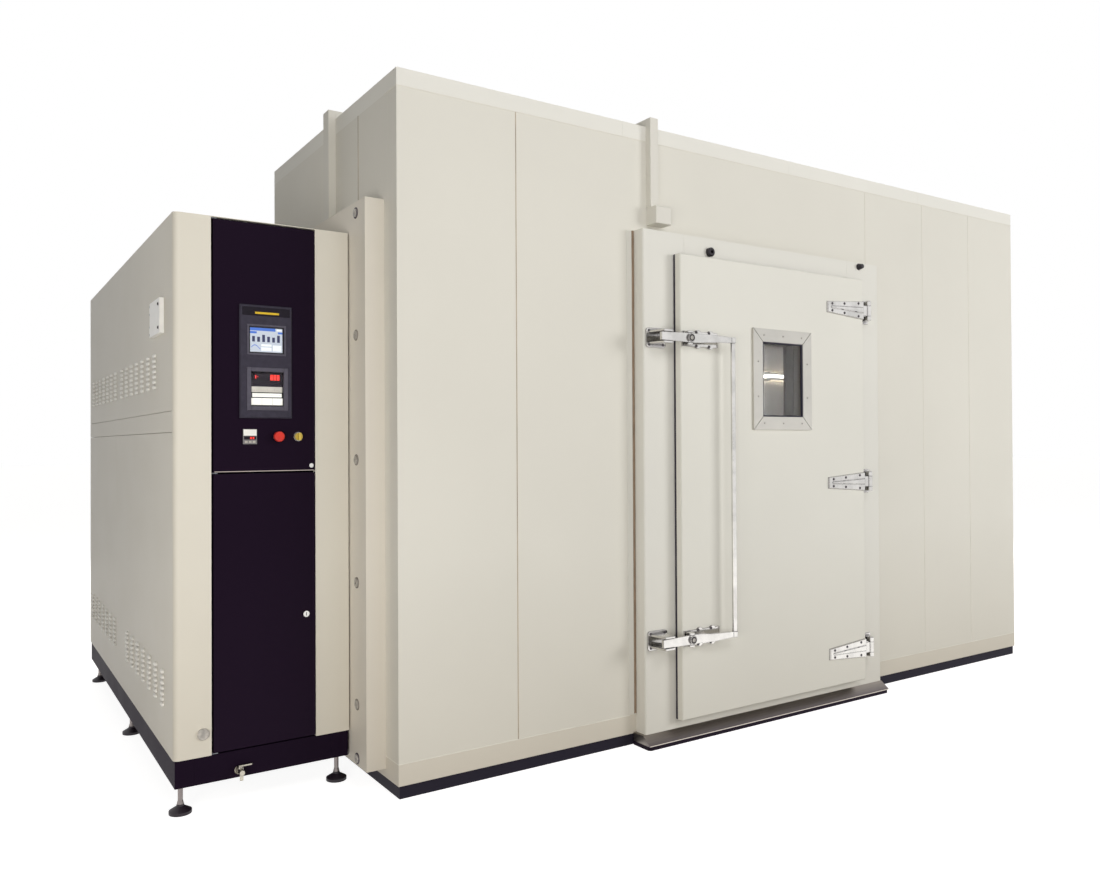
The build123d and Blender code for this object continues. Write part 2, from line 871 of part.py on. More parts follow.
# Louvred grilles on the inside of the left wall, over both air openings
with BuildPart() as air_grilles:
    for low, high in ((return_bottom, return_top), (supply_bottom, supply_top)):
        grille_x = (inner_left, inner_left + grille_depth)
        outer_y = (air_front - grille_border, air_back + grille_border)
        for side in (
            (outer_y[0], air_front),
            (air_back, outer_y[1]),
        ):
            block(grille_x, side, (low - grille_border, high + grille_border))
        for rail in ((low - grille_border, low), (high, high + grille_border)):
            block(grille_x, (air_front + rest_gap, air_back - rest_gap), rail)
        blade_pitch = (high - low) / grille_blade_count
        for blade in range(grille_blade_count):
            middle = low + (blade + 0.5) * blade_pitch
            blade_plane = Plane(
                origin=(inner_left + grille_depth / 2, air_front + rest_gap, middle),
                x_dir=(cos(radians(grille_blade_tilt)), 0, sin(radians(grille_blade_tilt))),
                z_dir=(0, 1, 0),
            )
            with BuildSketch(blade_plane) as section:
                Rectangle(grille_depth, grille_blade_thickness)
            extrude(section.sketch, amount=air_opening_width - 2 * rest_gap)
air_grilles.part.label = "air_grilles"
export_step(air_grilles.part, "parts/air_grilles.step")

# Sealed lamp on the back wall, seen through the window
with BuildPart() as interior_lamp:
    lamp_x = left + lamp_offset
    rod((lamp_x, inner_back - 40, lamp_height), (1, 0, 0), lamp_radius, lamp_length)
    for end in (lamp_x - 14, lamp_x + lamp_length):
        block((end, end + 14), (inner_back - 70, inner_back), (lamp_height - 30, lamp_height + 30))
interior_lamp.part.label = "interior_lamp"
export_step(interior_lamp.part, "parts/interior_lamp.step")

# Machine base: black channel rails and cross-members on adjustable feet, floor plate on top
base_x = (machine_left + base_inset, machine_right - base_inset)
base_y = (machine_front + base_inset, machine_back - base_inset)
with BuildPart() as machine_base:
    for rail in (
        (base_x[0], base_x[0] + base_rail_width),
        (base_x[1] - base_rail_width, base_x[1]),
    ):
        block(rail, base_y, (base_bottom, base_top))
    base_pitch = (base_y[1] - base_y[0] - base_rail_width) / base_bays
    member_x = (base_x[0] + base_rail_width + post_gap, base_x[1] - base_rail_width - post_gap)
    for member in range(base_bays + 1):
        low = base_y[0] + member * base_pitch
        block(member_x, (low, low + base_rail_width), (base_bottom, base_top))
    floor_x = (machine_left + tray_depth + 2, machine_right - sheet - 2)
    floor_y = (machine_front + pillar_depth + 2, machine_back - tray_depth - 2)
    block(floor_x, floor_y, (base_top + panel_seam, base_top + floor_plate))
machine_base.part.label = "machine_base"
export_step(machine_base.part, "parts/machine_base.step")

# Levelling feet: a conical pad, a neck, a lock nut and a threaded stem
with BuildPart() as foot:
    with BuildSketch(Plane.XZ) as foot_profile:
        with BuildLine():
            Polyline(
                (0, 0),
                (foot_pad_radius, 0),
                (foot_pad_radius, foot_pad_height),
                (foot_neck_radius + 4, 2.4 * foot_pad_height),
                (foot_neck_radius, 4 * foot_pad_height),
                (foot_stem_radius, 4.2 * foot_pad_height),
                (foot_stem_radius, base_bottom),
                (0, base_bottom),
                close=True,
            )
        make_face()
    revolve(foot_profile.sketch, axis=Axis.Z)
    with BuildSketch(Plane.XY.offset(base_bottom - 12)) as nut:
        RegularPolygon(15, 6)
    extrude(nut.sketch, amount=12)

foot_rows = (
    machine_front + foot_front_setback,
    machine_front + foot_middle_setback,
    machine_back - foot_back_setback,
)
foot_places = [
    (x, row, 0)
    for row in foot_rows
    for x in (base_x[0] + foot_inset, base_x[1] - foot_inset)
]
with BuildPart() as levelling_feet:
    with Locations(*foot_places):
        add(foot.part)
levelling_feet.part.label = "levelling_feet"
export_step(levelling_feet.part, "parts/levelling_feet.step")

# Machine frame: square posts with rails under the roof
post_x = (machine_left + tray_depth + 2, machine_right - sheet - 2 - post)
post_rows = (
    machine_front + pillar_depth + 2,
    machine_front + side_split - post / 2,
    machine_back - tray_depth - 2 - post,
)
frame_ceiling = machine_height - sheet - 2
post_rise = (base_top + floor_plate + post_gap, frame_ceiling - post - post_gap)
with BuildPart() as machine_frame:
    for x in post_x:
        for y in post_rows:
            block((x, x + post), (y, y + post), post_rise)
        rail_y = (post_rows[0], post_rows[2] + post)
        block((x, x + post), rail_y, (frame_ceiling - post, frame_ceiling))
machine_frame.part.label = "machine_frame"
export_step(machine_frame.part, "parts/machine_frame.step")

# Front pillars: folded sheet boxes, the left one rounded at the machine's corner
pillar_rise = (base_top, machine_height - sheet)
pillar_left = (machine_left, machine_left + pillar_left_width)
pillar_right = (machine_right - pillar_right_width, machine_right)
with BuildPart() as front_pillars:
    for span in (pillar_left, pillar_right):
        with BuildSketch(Plane.XY.offset(pillar_rise[0])) as profile:
            with Locations((between(*span), machine_front + pillar_depth / 2)):
                Rectangle(span[1] - span[0], pillar_depth)
            if span == pillar_left:
                corner = profile.vertices().group_by(Axis.Y)[0].sort_by(Axis.X)[0]
                fillet(corner, pillar_corner_radius)
            offset(amount=-sheet, kind=Kind.INTERSECTION, mode=Mode.SUBTRACT)
        extrude(profile.sketch, amount=pillar_rise[1] - pillar_rise[0])
front_pillars.part.label = "front_pillars"
export_step(front_pillars.part, "parts/front_pillars.step")


def side_tray(y, z):
    """A sheet panel of the machine's left side, folded inwards round its edges."""
    block((machine_left, machine_left + tray_depth), y, z)
    inner_y = (y[0] + sheet, y[1] - sheet)
    inner_z = (z[0] + sheet, z[1] - sheet)
    inner_x = (machine_left + sheet, machine_left + tray_depth)
    block(inner_x, inner_y, inner_z, mode=Mode.SUBTRACT)


def louvre_slots(start, height):
    """A field of short slots through the machine's left side."""
    middle = start + (slot_columns - 1) * slot_column_pitch / 2
    with BuildSketch(Plane.YZ.offset(machine_left - 1)) as slots:
        with Locations((machine_front + middle, height)):
            with GridLocations(slot_column_pitch, slot_row_pitch, slot_columns, slot_rows):
                Rectangle(slot_width, slot_height)
    extrude(slots.sketch, amount=sheet + 2, mode=Mode.SUBTRACT)


side_y = (machine_front + pillar_depth + panel_seam, machine_back)
side_seam = 1.5
split_y = machine_front + side_split
with BuildPart() as left_side_panels:
    side_tray(side_y, (upper_panel_bottom, pillar_rise[1]))
    for start in upper_slot_starts:
        louvre_slots(start, upper_slots_height)
    side_tray(side_y, (band_bottom, upper_panel_bottom - side_seam))
    side_tray((side_y[0], split_y), (base_top, band_bottom - side_seam))
    side_tray((split_y + side_seam, side_y[1]), (base_top, band_bottom - side_seam))
    for start in lower_slot_starts:
        louvre_slots(start, lower_slots_height)
left_side_panels.part.label = "left_side_panels"
export_step(left_side_panels.part, "parts/left_side_panels.step")

# Right side sheet, open where air goes to and from the chamber
with BuildPart() as right_side_panel:
    block(
        (machine_right - sheet, machine_right),
        (side_y[0], machine_back - tray_depth - panel_seam),
        (base_top, pillar_rise[1]),
    )
    for low, high in ((return_bottom, return_top), (supply_bottom, supply_top)):
        cut_x = (machine_right - 2 * sheet, machine_right + sheet)
        block(cut_x, (air_front, air_back), (low, high), mode=Mode.SUBTRACT)
right_side_panel.part.label = "right_side_panel"
export_step(right_side_panel.part, "parts/right_side_panel.step")

# Rear panel with a slotted air outlet behind the condenser
rear_x = (machine_left + tray_depth + panel_seam, machine_right)
with BuildPart() as rear_panel:
    rear_rise = (base_top, pillar_rise[1])
    block(rear_x, (machine_back - tray_depth, machine_back), rear_rise)
    block(
        (rear_x[0] + sheet, rear_x[1] - sheet),
        (machine_back - tray_depth, machine_back - sheet),
        (rear_rise[0] + sheet, rear_rise[1] - sheet),
        mode=Mode.SUBTRACT,
    )
    outlet_middle = (between(*rear_x), condenser_bottom + condenser_height / 2)
    with BuildSketch(Plane.XZ.offset(-machine_back)) as outlet:
        with Locations(outlet_middle):
            with GridLocations(150, 34, 3, 16):
                Rectangle(126, 14)
    extrude(outlet.sketch, amount=2 * sheet, both=True, mode=Mode.SUBTRACT)
rear_panel.part.label = "rear_panel"
export_step(rear_panel.part, "parts/rear_panel.step")

with BuildPart() as roof_panel:
    roof_rise = (machine_height - sheet, machine_height)
    block((machine_left, machine_right), (machine_front, machine_back), roof_rise)
    corner = roof_panel.edges().filter_by(Axis.Z).group_by(Axis.Y)[0].sort_by(Axis.X)[0]
    fillet(corner, pillar_corner_radius)
roof_panel.part.label = "roof_panel"
export_step(roof_panel.part, "parts/roof_panel.step")

# Hinged front panels: black glazed trays that swing on pins near their left edge
door_x = (pillar_left[1] + door_side_gap, pillar_right[0] - door_edge_gap)
door_y = (machine_front, machine_front + door_tray_depth)
upper_door_rise = (door_split_height + door_split_gap / 2, pillar_rise[1] - door_split_gap)
lower_door_rise = (base_top + door_split_gap, door_split_height - door_split_gap / 2)
panel_axis = (door_x[0] + door_hinge_inset, door_y[0] + door_hinge_setback)
bezel_top = upper_door_rise[1] - bezel_drop
screen_height = bezel_top - screen_drop
recorder_height = screen_height - screen_length / 2 - recorder_gap - recorder_length / 2
bezel_bottom = recorder_height - recorder_length / 2 - bezel_foot
bezel_length = bezel_top - bezel_bottom
bezel_height = between(bezel_bottom, bezel_top)
switch_height = bezel_bottom - switch_drop
latch_knob_height = upper_door_rise[0] + latch_knob_rise


def door_tray(rise):
    """A sheet tray, open behind, with solid bosses for its hinge pins."""
    block(door_x, door_y, rise)
    inner_x = (door_x[0] + sheet, door_x[1] - sheet)
    inner_z = (rise[0] + sheet, rise[1] - sheet)
    block(inner_x, (door_y[0] + sheet, door_y[1]), inner_z, mode=Mode.SUBTRACT)
    boss_x = (door_x[0] + sheet, door_x[0] + 2 * door_hinge_inset)
    boss_y = (door_y[0] + sheet, door_y[0] + 2 * door_hinge_setback)
    bore = door_pin_radius + running_clearance
    reach = door_pin_reach + 2
    for low in (rise[0] + sheet, rise[1] - sheet - reach):
        block(boss_x, boss_y, (low, low + reach))
    for start, direction in ((rise[0], 1), (rise[1], -1)):
        rod((*panel_axis, start), (0, 0, direction), bore, door_pin_reach, mode=Mode.SUBTRACT)


def across(distance):
    """X of a place measured from the machine's left face."""
    return machine_left + distance


def front_cut(x, z, width, height):
    """A square hole through a front panel's sheet."""
    cut_x = (x - width / 2, x + width / 2)
    cut_z = (z - height / 2, z + height / 2)
    block(cut_x, (door_y[0] - 1, door_y[0] + sheet + 1), cut_z, mode=Mode.SUBTRACT)


bore_depth = sheet + 2
with BuildPart() as control_panel:
    door_tray(upper_door_rise)
    front_cut(across(bezel_across), bezel_height, bezel_width - 20, bezel_length - 20)
    front_cut(across(protector_across), switch_height, protector_width - 6, protector_length - 6)
    for place, height, radius in (
        (stop_across, switch_height, collar_radius - 4),
        (selector_across, switch_height, collar_radius - 4),
        (latch_knob_across, latch_knob_height, latch_knob_radius - 2 + running_clearance),
    ):
        hole = (across(place), door_y[0] - 1, height)
        rod(hole, (0, 1, 0), radius, bore_depth, mode=Mode.SUBTRACT)
control_panel.part.label = "control_panel"
export_step(control_panel.part, "parts/control_panel.step")

with BuildPart() as service_door:
    door_tray(lower_door_rise)
    hole = (across(lock_across), door_y[0] - 1, lock_height)
    bore = lock_radius - 2 + running_clearance
    rod(hole, (0, 1, 0), bore, bore_depth, mode=Mode.SUBTRACT)
service_door.part.label = "service_door"
export_step(service_door.part, "parts/service_door.step")

# Bezel round the display and the recorder, bevelled all round, with the bores for the
# recorder door's two pins
recorder_x = across(recorder_across)
recorder_span = (recorder_x - recorder_width / 2, recorder_x + recorder_width / 2)
recorder_rise = (recorder_height - recorder_length / 2, recorder_height + recorder_length / 2)
recorder_door_y = (
    machine_front - recorder_door_proud,
    machine_front - recorder_door_proud + recorder_door_thickness,
)
door_edge = recorder_door_thickness / 2
recorder_axis = (recorder_span[0] + door_edge, between(*recorder_door_y))
with BuildPart() as control_bezel:
    with BuildSketch(Plane.XZ.offset(-machine_front)) as bezel_face:
        with Locations((across(bezel_across), bezel_height)):
            Rectangle(bezel_width, bezel_length)
    extrude(bezel_face.sketch, amount=bezel_proud)
    chamfer(control_bezel.faces().sort_by(Axis.Y)[0].edges(), bezel_bevel)
    with BuildSketch(Plane.XZ.offset(-machine_front - bezel_proud)) as windows:
        with Locations((across(screen_across), screen_height)):
            Rectangle(screen_width, screen_length)
        with Locations((across(recorder_across), recorder_height)):
            Rectangle(recorder_width + 2 * fit_gap, recorder_length + 2 * fit_gap)
    extrude(windows.sketch, amount=2 * bezel_proud, both=True, mode=Mode.SUBTRACT)
    pin_bore = recorder_pin_radius + running_clearance
    for end, direction in ((recorder_rise[0], -1), (recorder_rise[1], 1)):
        bore_start = (*recorder_axis, end)
        reach = recorder_pin_reach + 1
        rod(bore_start, (0, 0, direction), pin_bore, reach, mode=Mode.SUBTRACT)
control_bezel.part.label = "control_bezel"
export_step(control_bezel.part, "parts/control_bezel.step")

with BuildPart() as touch_screen:
    screen_x = across(screen_across)
    for width, length, depth in (
        (screen_width - 2 * rest_gap, screen_length - 2 * rest_gap, (-6, 0)),
        (screen_width + 14, screen_length + 14, (0, 34)),
    ):
        block(
            (screen_x - width / 2, screen_x + width / 2),
            (machine_front + depth[0], machine_front + depth[1]),
            (screen_height - length / 2, screen_height + length / 2),
        )
touch_screen.part.label = "touch_screen"
export_step(touch_screen.part, "parts/touch_screen.step")

# Recorder: a deep case in the bezel, with a glazed door hinged at its left edge
with BuildPart() as recorder_body:
    case_y = (recorder_door_y[1] + 2 * rest_gap, machine_front + recorder_depth)
    block(recorder_span, case_y, recorder_rise)
recorder_body.part.label = "recorder_body"
export_step(recorder_body.part, "parts/recorder_body.step")

with BuildPart() as recorder_door:
    with BuildSketch(Plane.XY.offset(recorder_rise[0])) as cover_plan:
        with Locations(recorder_axis):
            Circle(door_edge)
        with Locations((between(recorder_axis[0], recorder_span[1]), recorder_axis[1])):
            Rectangle(recorder_span[1] - recorder_axis[0], recorder_door_thickness)
    extrude(cover_plan.sketch, amount=recorder_length)
    for end, direction in ((recorder_rise[0], -1), (recorder_rise[1], 1)):
        rod((*recorder_axis, end), (0, 0, direction), recorder_pin_radius, recorder_pin_reach)
    glass_x = (recorder_span[0] + recorder_border, recorder_span[1] - recorder_border)
    glass_z = (recorder_rise[0] + recorder_border, recorder_rise[1] - recorder_border)
    block(glass_x, recorder_door_y, glass_z, mode=Mode.SUBTRACT)
    pane_x = (glass_x[0] + rest_gap, glass_x[1] - rest_gap)
    pane_z = (glass_z[0] + rest_gap, glass_z[1] - rest_gap)
    block(pane_x, (recorder_door_y[0] + 3, recorder_door_y[0] + 6), pane_z)
recorder_door.part.label = "recorder_door"
export_step(recorder_door.part, "parts/recorder_door.step")

with BuildPart() as overheat_protector:
    protector_x = across(protector_across)
    for width, length, depth in (
        (protector_width, protector_length, (-protector_proud, 0)),
        (protector_width - 7, protector_length - 7, (0, protector_depth)),
    ):
        block(
            (protector_x - width / 2, protector_x + width / 2),
            (machine_front + depth[0], machine_front + depth[1]),
            (switch_height - length / 2, switch_height + length / 2),
        )
overheat_protector.part.label = "overheat_protector"
export_step(overheat_protector.part, "parts/overheat_protector.step")

# Emergency stop and selector: a collar in the panel, and the piece that moves in it
with BuildPart() as switch_collars:
    for place, stem in ((stop_across, stop_stem_radius), (selector_across, selector_stem_radius)):
        origin = (across(place), machine_front - collar_thickness, switch_height)
        rod(origin, (0, 1, 0), collar_radius, collar_thickness)
        rod(origin, (0, 1, 0), collar_radius - 4.3, collar_thickness + sheet + 14)
        rod(origin, (0, 1, 0), stem + running_clearance, 40, mode=Mode.SUBTRACT)
switch_collars.part.label = "switch_collars"
export_step(switch_collars.part, "parts/switch_collars.step")

with BuildPart() as e_stop_button:
    head_back = (across(stop_across), machine_front - stop_stand, switch_height)
    rod(head_back, (0, -1, 0), stop_head_radius, stop_head_thickness)
    fillet(e_stop_button.faces().sort_by(Axis.Y)[0].edges(), stop_head_thickness / 2)
    rod(head_back, (0, 1, 0), stop_stem_radius, stop_stand + 22)
e_stop_button.part.label = "e_stop_button"
export_step(e_stop_button.part, "parts/e_stop_button.step")

with BuildPart() as selector_knob:
    knob_front = machine_front - collar_thickness - rest_gap
    origin = (across(selector_across), knob_front, switch_height)
    rod(origin, (0, -1, 0), selector_radius, 8)
    rod(origin, (0, 1, 0), selector_stem_radius, 30)
    grip_x = (across(selector_across) - 4, across(selector_across) + 4)
    grip_z = (switch_height - selector_radius, switch_height + selector_radius)
    block(grip_x, (knob_front - 20, knob_front - 8), grip_z)
selector_knob.part.label = "selector_knob"
export_step(selector_knob.part, "parts/selector_knob.step")


def quarter_turn(x, z, radius, tongue_length):
    """A lock barrel through a front panel, with a tongue that stands up when open."""
    rod((x, machine_front - rest_gap, z), (0, -1, 0), radius, 5)
    tongue_y = machine_front + pillar_depth + 3
    reach = tongue_y + tongue_thickness - machine_front + rest_gap
    rod((x, machine_front - rest_gap, z), (0, 1, 0), radius - 2, reach)
    block(
        (x - tongue_width / 2, x + tongue_width / 2),
        (tongue_y, tongue_y + tongue_thickness),
        (z, z + tongue_length),
    )


with BuildPart() as key_lock:
    quarter_turn(across(lock_across), lock_height, lock_radius, lock_tongue_length)
key_lock.part.label = "key_lock"
export_step(key_lock.part, "parts/key_lock.step")

with BuildPart() as panel_latch:
    quarter_turn(
        across(latch_knob_across), latch_knob_height, latch_knob_radius, latch_tongue_length
    )
panel_latch.part.label = "panel_latch"
export_step(panel_latch.part, "parts/panel_latch.step")

# Drain cock on the base: flanged body, downward spout, and a lever on its stem
cock_y = machine_front + base_inset
cock_x = across(cock_across)
with BuildPart() as drain_cock:
    rod((cock_x, cock_y, cock_height), (0, -1, 0), cock_flange_radius, 4)
    rod((cock_x, cock_y, cock_height), (0, -1, 0), cock_radius, cock_length)
    rod((cock_x, cock_y - cock_length + 10, cock_height), (0, 0, -1), cock_radius - 3, 26)
    rod((cock_x, cock_y - 20, cock_height), (0, 0, 1), 7, 15)
    stem_bore = 3 + running_clearance
    bore_start = (cock_x, cock_y - 20, cock_height + 5)
    rod(bore_start, (0, 0, 1), stem_bore, 12, mode=Mode.SUBTRACT)
drain_cock.part.label = "drain_cock"
export_step(drain_cock.part, "parts/drain_cock.step")

with BuildPart() as drain_cock_handle:
    lever_low = cock_height + 15 + rest_gap
    rod((cock_x, cock_y - 20, lever_low), (0, 0, -1), 3, 9)
    with BuildSketch(Plane.XY.offset(lever_low)) as handle_plan:
        with Locations((cock_x + cock_handle_length / 2, cock_y - 20)):
            SlotOverall(cock_handle_length + 12, 12)
    extrude(handle_plan.sketch, amount=5)
drain_cock_handle.part.label = "drain_cock_handle"
export_step(drain_cock_handle.part, "parts/drain_cock_handle.step")

# Connector flap on the left side, hinged at its rear edge over two sockets
flap_y = (machine_front + flap_setback, machine_front + flap_setback + flap_width)
flap_x = (machine_left - flap_depth - rest_gap, machine_left - rest_gap)
flap_z = (flap_bottom, flap_bottom + flap_height)
flap_axis = (flap_x[0] + 3, flap_y[1] + 5)
flap_knuckles = (flap_z[0] + 14, flap_z[1] - 34)
with BuildPart() as connector_flap:
    block(flap_x, flap_y, flap_z)
    block(
        (flap_x[0] + sheet, flap_x[1]),
        (flap_y[0] + sheet, flap_y[1] - sheet),
        (flap_z[0] + sheet, flap_z[1] - sheet),
        mode=Mode.SUBTRACT,
    )
    for low in flap_knuckles:
        with BuildSketch(Plane.XY.offset(low)) as flap_knuckle:
            with Locations(flap_axis):
                Circle(3)
            with Locations((flap_axis[0] - 2, flap_axis[1] - 4)):
                Rectangle(2, 8)
            with Locations(flap_axis):
                Circle(1.5 + running_clearance, mode=Mode.SUBTRACT)
        extrude(flap_knuckle.sketch, amount=20)
connector_flap.part.label = "connector_flap"
export_step(connector_flap.part, "parts/connector_flap.step")

# Pin plates at the top, middle and bottom of the hinged panels, and the flap's two lugs
with BuildPart() as panel_hinges:
    plate_x = (pillar_left[1], panel_axis[0] + 6)
    plate_y = (machine_front + 3, machine_front + pillar_depth + 2 - rest_gap)
    stand = (door_split_gap - door_bracket_thickness) / 2
    pins = (
        (pillar_rise[1] - stand - door_bracket_thickness, False, True),
        (door_split_height - door_bracket_thickness / 2, True, True),
        (base_top + stand, True, False),
    )
    for low, up, down in pins:
        plate = (low, low + door_bracket_thickness)
        block(plate_x, plate_y, plate)
        if up:
            rod((*panel_axis, plate[1]), (0, 0, 1), door_pin_radius, stand + door_pin_reach - 2)
        if down:
            rod((*panel_axis, plate[0]), (0, 0, -1), door_pin_radius, stand + door_pin_reach - 2)
    for low in flap_knuckles:
        lug_start = (low - 6 - rest_gap, low + 20 + rest_gap)
        for lug_low in lug_start:
            lug_y = (flap_axis[1] - 3, flap_axis[1] + 3)
            block((flap_axis[0] - 3, machine_left), lug_y, (lug_low, lug_low + 6))
        rod((*flap_axis, lug_start[0]), (0, 0, 1), 1.5, lug_start[1] + 6 - lug_start[0])
panel_hinges.part.label = "panel_hinges"
export_step(panel_hinges.part, "parts/panel_hinges.step")

# Round plastic caps: over the cam locks that pull the duct frame and the wall together,
# over a port of the left front pillar, and over the two sockets under the flap
with BuildPart() as blanking_caps:
    rod((across(cap_across), machine_front, cap_height), (0, -1, 0), cap_radius, cap_depth)
    chamfer(blanking_caps.faces().sort_by(Axis.Y)[0].edges(), 3)
    for height in cam_lock_heights:
        cap_origin = (duct_left, front + duct_front + cam_lock_setback, height)
        cap_plane = Plane(origin=cap_origin, z_dir=(-1, 0, 0))
        with BuildSketch(cap_plane) as cap:
            Circle(cam_lock_radius)
            RegularPolygon(cam_lock_hex_radius, 6, mode=Mode.SUBTRACT)
        extrude(cap.sketch, amount=cam_lock_depth)
    for setback in (flap_width * 0.3, flap_width * 0.7):
        socket_origin = (machine_left, flap_y[0] + setback, flap_bottom + flap_height / 2)
        rod(socket_origin, (-1, 0, 0), socket_radius, socket_depth)
blanking_caps.part.label = "blanking_caps"
export_step(blanking_caps.part, "parts/blanking_caps.step")

# Insulated air section beside the chamber: walls round the coil, heater and blower
section_x = (machine_right - section_width, machine_right - sheet - rest_gap)
section_y = (front + section_front, front + section_back)
section_inner_x = (section_x[0] + section_wall, section_x[1])
section_inner_y = (section_y[0] + section_wall, section_y[1] - section_wall)
blower_x = section_inner_x[0] + 60
blower_y = between(*section_y)
blower_z = between(supply_bottom, supply_top)
with BuildPart() as air_section:
    section_rise = (section_bottom, section_top)
    block((section_x[0], section_inner_x[0]), section_y, section_rise)
    rod(
        (section_x[0] - 1, blower_y, blower_z),
        (1, 0, 0),
        shaft_radius + 4,
        section_wall + 2,
        mode=Mode.SUBTRACT,
    )
    wall_start = section_inner_x[0] + panel_seam
    for y in ((section_y[0], section_inner_y[0]), (section_inner_y[1], section_y[1])):
        block((wall_start, section_x[1]), y, section_rise)
    for z in ((section_bottom, section_bottom + section_wall), (section_top - section_wall, section_top)):
        clear_y = (section_inner_y[0] + panel_seam, section_inner_y[1] - panel_seam)
        block((wall_start, section_x[1]), clear_y, z)
    foot_span = (base_top + floor_plate, section_bottom - rest_gap)
    for y in (section_y[0] + 20, section_y[1] - 60):
        block((section_x[0] + 10, section_x[1] - 10), (y, y + 40), foot_span)
air_section.part.label = "air_section"
export_step(air_section.part, "parts/air_section.step")


def finned_coil(corner, size, fins, stack, tubes):
    """A coil block: thin fins between thicker end plates, on rows of straight tubes."""
    x, y, z = corner
    width, depth, height = size
    pitch = (width - coil_end_thickness) / (fins + 1)
    for fin in range(fins + 2):
        thick = coil_end_thickness if fin in (0, fins + 1) else coil_fin_thickness
        low = x + fin * pitch if stack == "x" else y + fin * pitch
        if stack == "x":
            block((low, low + thick), (y, y + depth), (z, z + height))
        else:
            block((x, x + depth), (low, low + thick), (z, z + height))
    rows, columns = tubes
    for row in range(rows):
        for column in range(columns):
            level = z + height * (row + 0.5) / rows
            inset = depth * (column + 0.5) / columns
            if stack == "x":
                rod((x - 8, y + inset, level), (1, 0, 0), coil_tube_radius, width + 16)
            else:
                rod((x + inset, y - 8, level), (0, 1, 0), coil_tube_radius, width + 16)


# Sheathed heater rods across the air path, between two carrier plates
with BuildPart() as heater:
    rod_pitch = coil_depth / heater_rods
    heater_y = (section_inner_y[0] + rest_gap, section_inner_y[1] - rest_gap)
    for y in (heater_y[0], heater_y[1] - 4):
        block(
            (section_inner_x[0] + 10, section_inner_x[0] + 10 + coil_depth),
            (y, y + 4),
            (heater_bottom, heater_bottom + 60),
        )
    for bar in range(heater_rods):
        x = section_inner_x[0] + 10 + (bar + 0.5) * rod_pitch
        z = heater_bottom + 20 + 20 * (bar % 2)
        rod((x, heater_y[0] + 2, z), (0, 1, 0), heater_rod_radius, heater_y[1] - heater_y[0] - 4)
heater.part.label = "heater"
export_step(heater.part, "parts/heater.step")


def fan_wheel(hub_radius, tip_radius, width, blades, pitch):
    """A propeller fan about the Z axis: pitched blades that widen outwards, on a bored hub."""
    root_chord = 1.5 * hub_radius
    tip_chord = width / sin(radians(0.6 * pitch)) * 0.8
    with BuildPart() as blade:
        with BuildSketch(Plane.YZ.offset(hub_radius - 6)) as blade_root:
            Rectangle(root_chord, blade_thickness, rotation=pitch)
        with BuildSketch(Plane.YZ.offset(0.93 * tip_radius)) as blade_tip:
            Rectangle(tip_chord, blade_thickness, rotation=0.6 * pitch)
        loft([blade_root.sketch.face(), blade_tip.sketch.face()])
    with BuildPart() as wheel:
        Cylinder(hub_radius, width)
        with PolarLocations(0, blades):
            add(blade.part)
        Cylinder(shaft_radius + running_clearance, 2 * width, mode=Mode.SUBTRACT)
    return wheel.part


blower_wheel = fan_wheel(
    blower_hub_radius, blower_radius, blower_width, blower_blades, blower_blade_pitch
)
with BuildPart() as circulation_fan:
    with Locations(Plane(origin=(blower_x, blower_y, blower_z), z_dir=(1, 0, 0))):
        add(blower_wheel)
circulation_fan.part.label = "circulation_fan"
export_step(circulation_fan.part, "parts/circulation_fan.step")

# Shroud plates: a flat sheet with a round lip that the fan runs in
condenser_x = between(*rear_x)
condenser_z = condenser_bottom + condenser_height / 2
condenser_back = machine_back - condenser_setback
condenser_fan_y = condenser_back - condenser_depth - 60
with BuildPart() as fan_shrouds:
    ring_low = blower_x - shroud_lip / 2
    shroud_rise = (supply_bottom - 60, section_top - section_wall - rest_gap)
    with BuildSketch(Plane.YZ.offset(ring_low)) as blower_shroud:
        with Locations((blower_y, between(*shroud_rise))):
            Rectangle(
                section_inner_y[1] - section_inner_y[0] - 2 * rest_gap,
                shroud_rise[1] - shroud_rise[0],
            )
        with Locations((blower_y, blower_z)):
            Circle(blower_radius + shroud_gap, mode=Mode.SUBTRACT)
    extrude(blower_shroud.sketch, amount=shroud_thickness)
    with BuildSketch(Plane.YZ.offset(ring_low)) as blower_lip:
        with Locations((blower_y, blower_z)):
            Circle(blower_radius + shroud_gap + shroud_thickness)
            Circle(blower_radius + shroud_gap, mode=Mode.SUBTRACT)
    extrude(blower_lip.sketch, amount=shroud_lip)
    condenser_ring = condenser_fan_y + shroud_lip / 2
    shroud_x = (post_x[0] + post + rest_gap, post_x[1] - rest_gap)
    with BuildSketch(Plane.XZ.offset(-condenser_ring)) as condenser_shroud:
        with Locations((between(*shroud_x), condenser_z)):
            Rectangle(shroud_x[1] - shroud_x[0], condenser_height)
        with Locations((condenser_x, condenser_z)):
            Circle(condenser_fan_radius + shroud_gap, mode=Mode.SUBTRACT)
    extrude(condenser_shroud.sketch, amount=shroud_thickness)
    with BuildSketch(Plane.XZ.offset(-condenser_ring)) as condenser_lip:
        with Locations((condenser_x, condenser_z)):
            Circle(condenser_fan_radius + shroud_gap + shroud_thickness)
            Circle(condenser_fan_radius + shroud_gap, mode=Mode.SUBTRACT)
    extrude(condenser_lip.sketch, amount=shroud_lip)
    cheek_y = (condenser_ring - shroud_thickness, machine_back - tray_depth - 4)
    cheek_z = (condenser_bottom, condenser_bottom + condenser_height)
    block((shroud_x[0], shroud_x[0] + shroud_thickness), cheek_y, cheek_z)
    block((shroud_x[1] - shroud_thickness, shroud_x[1]), cheek_y, cheek_z)
fan_shrouds.part.label = "fan_shrouds"
export_step(fan_shrouds.part, "parts/fan_shrouds.step")

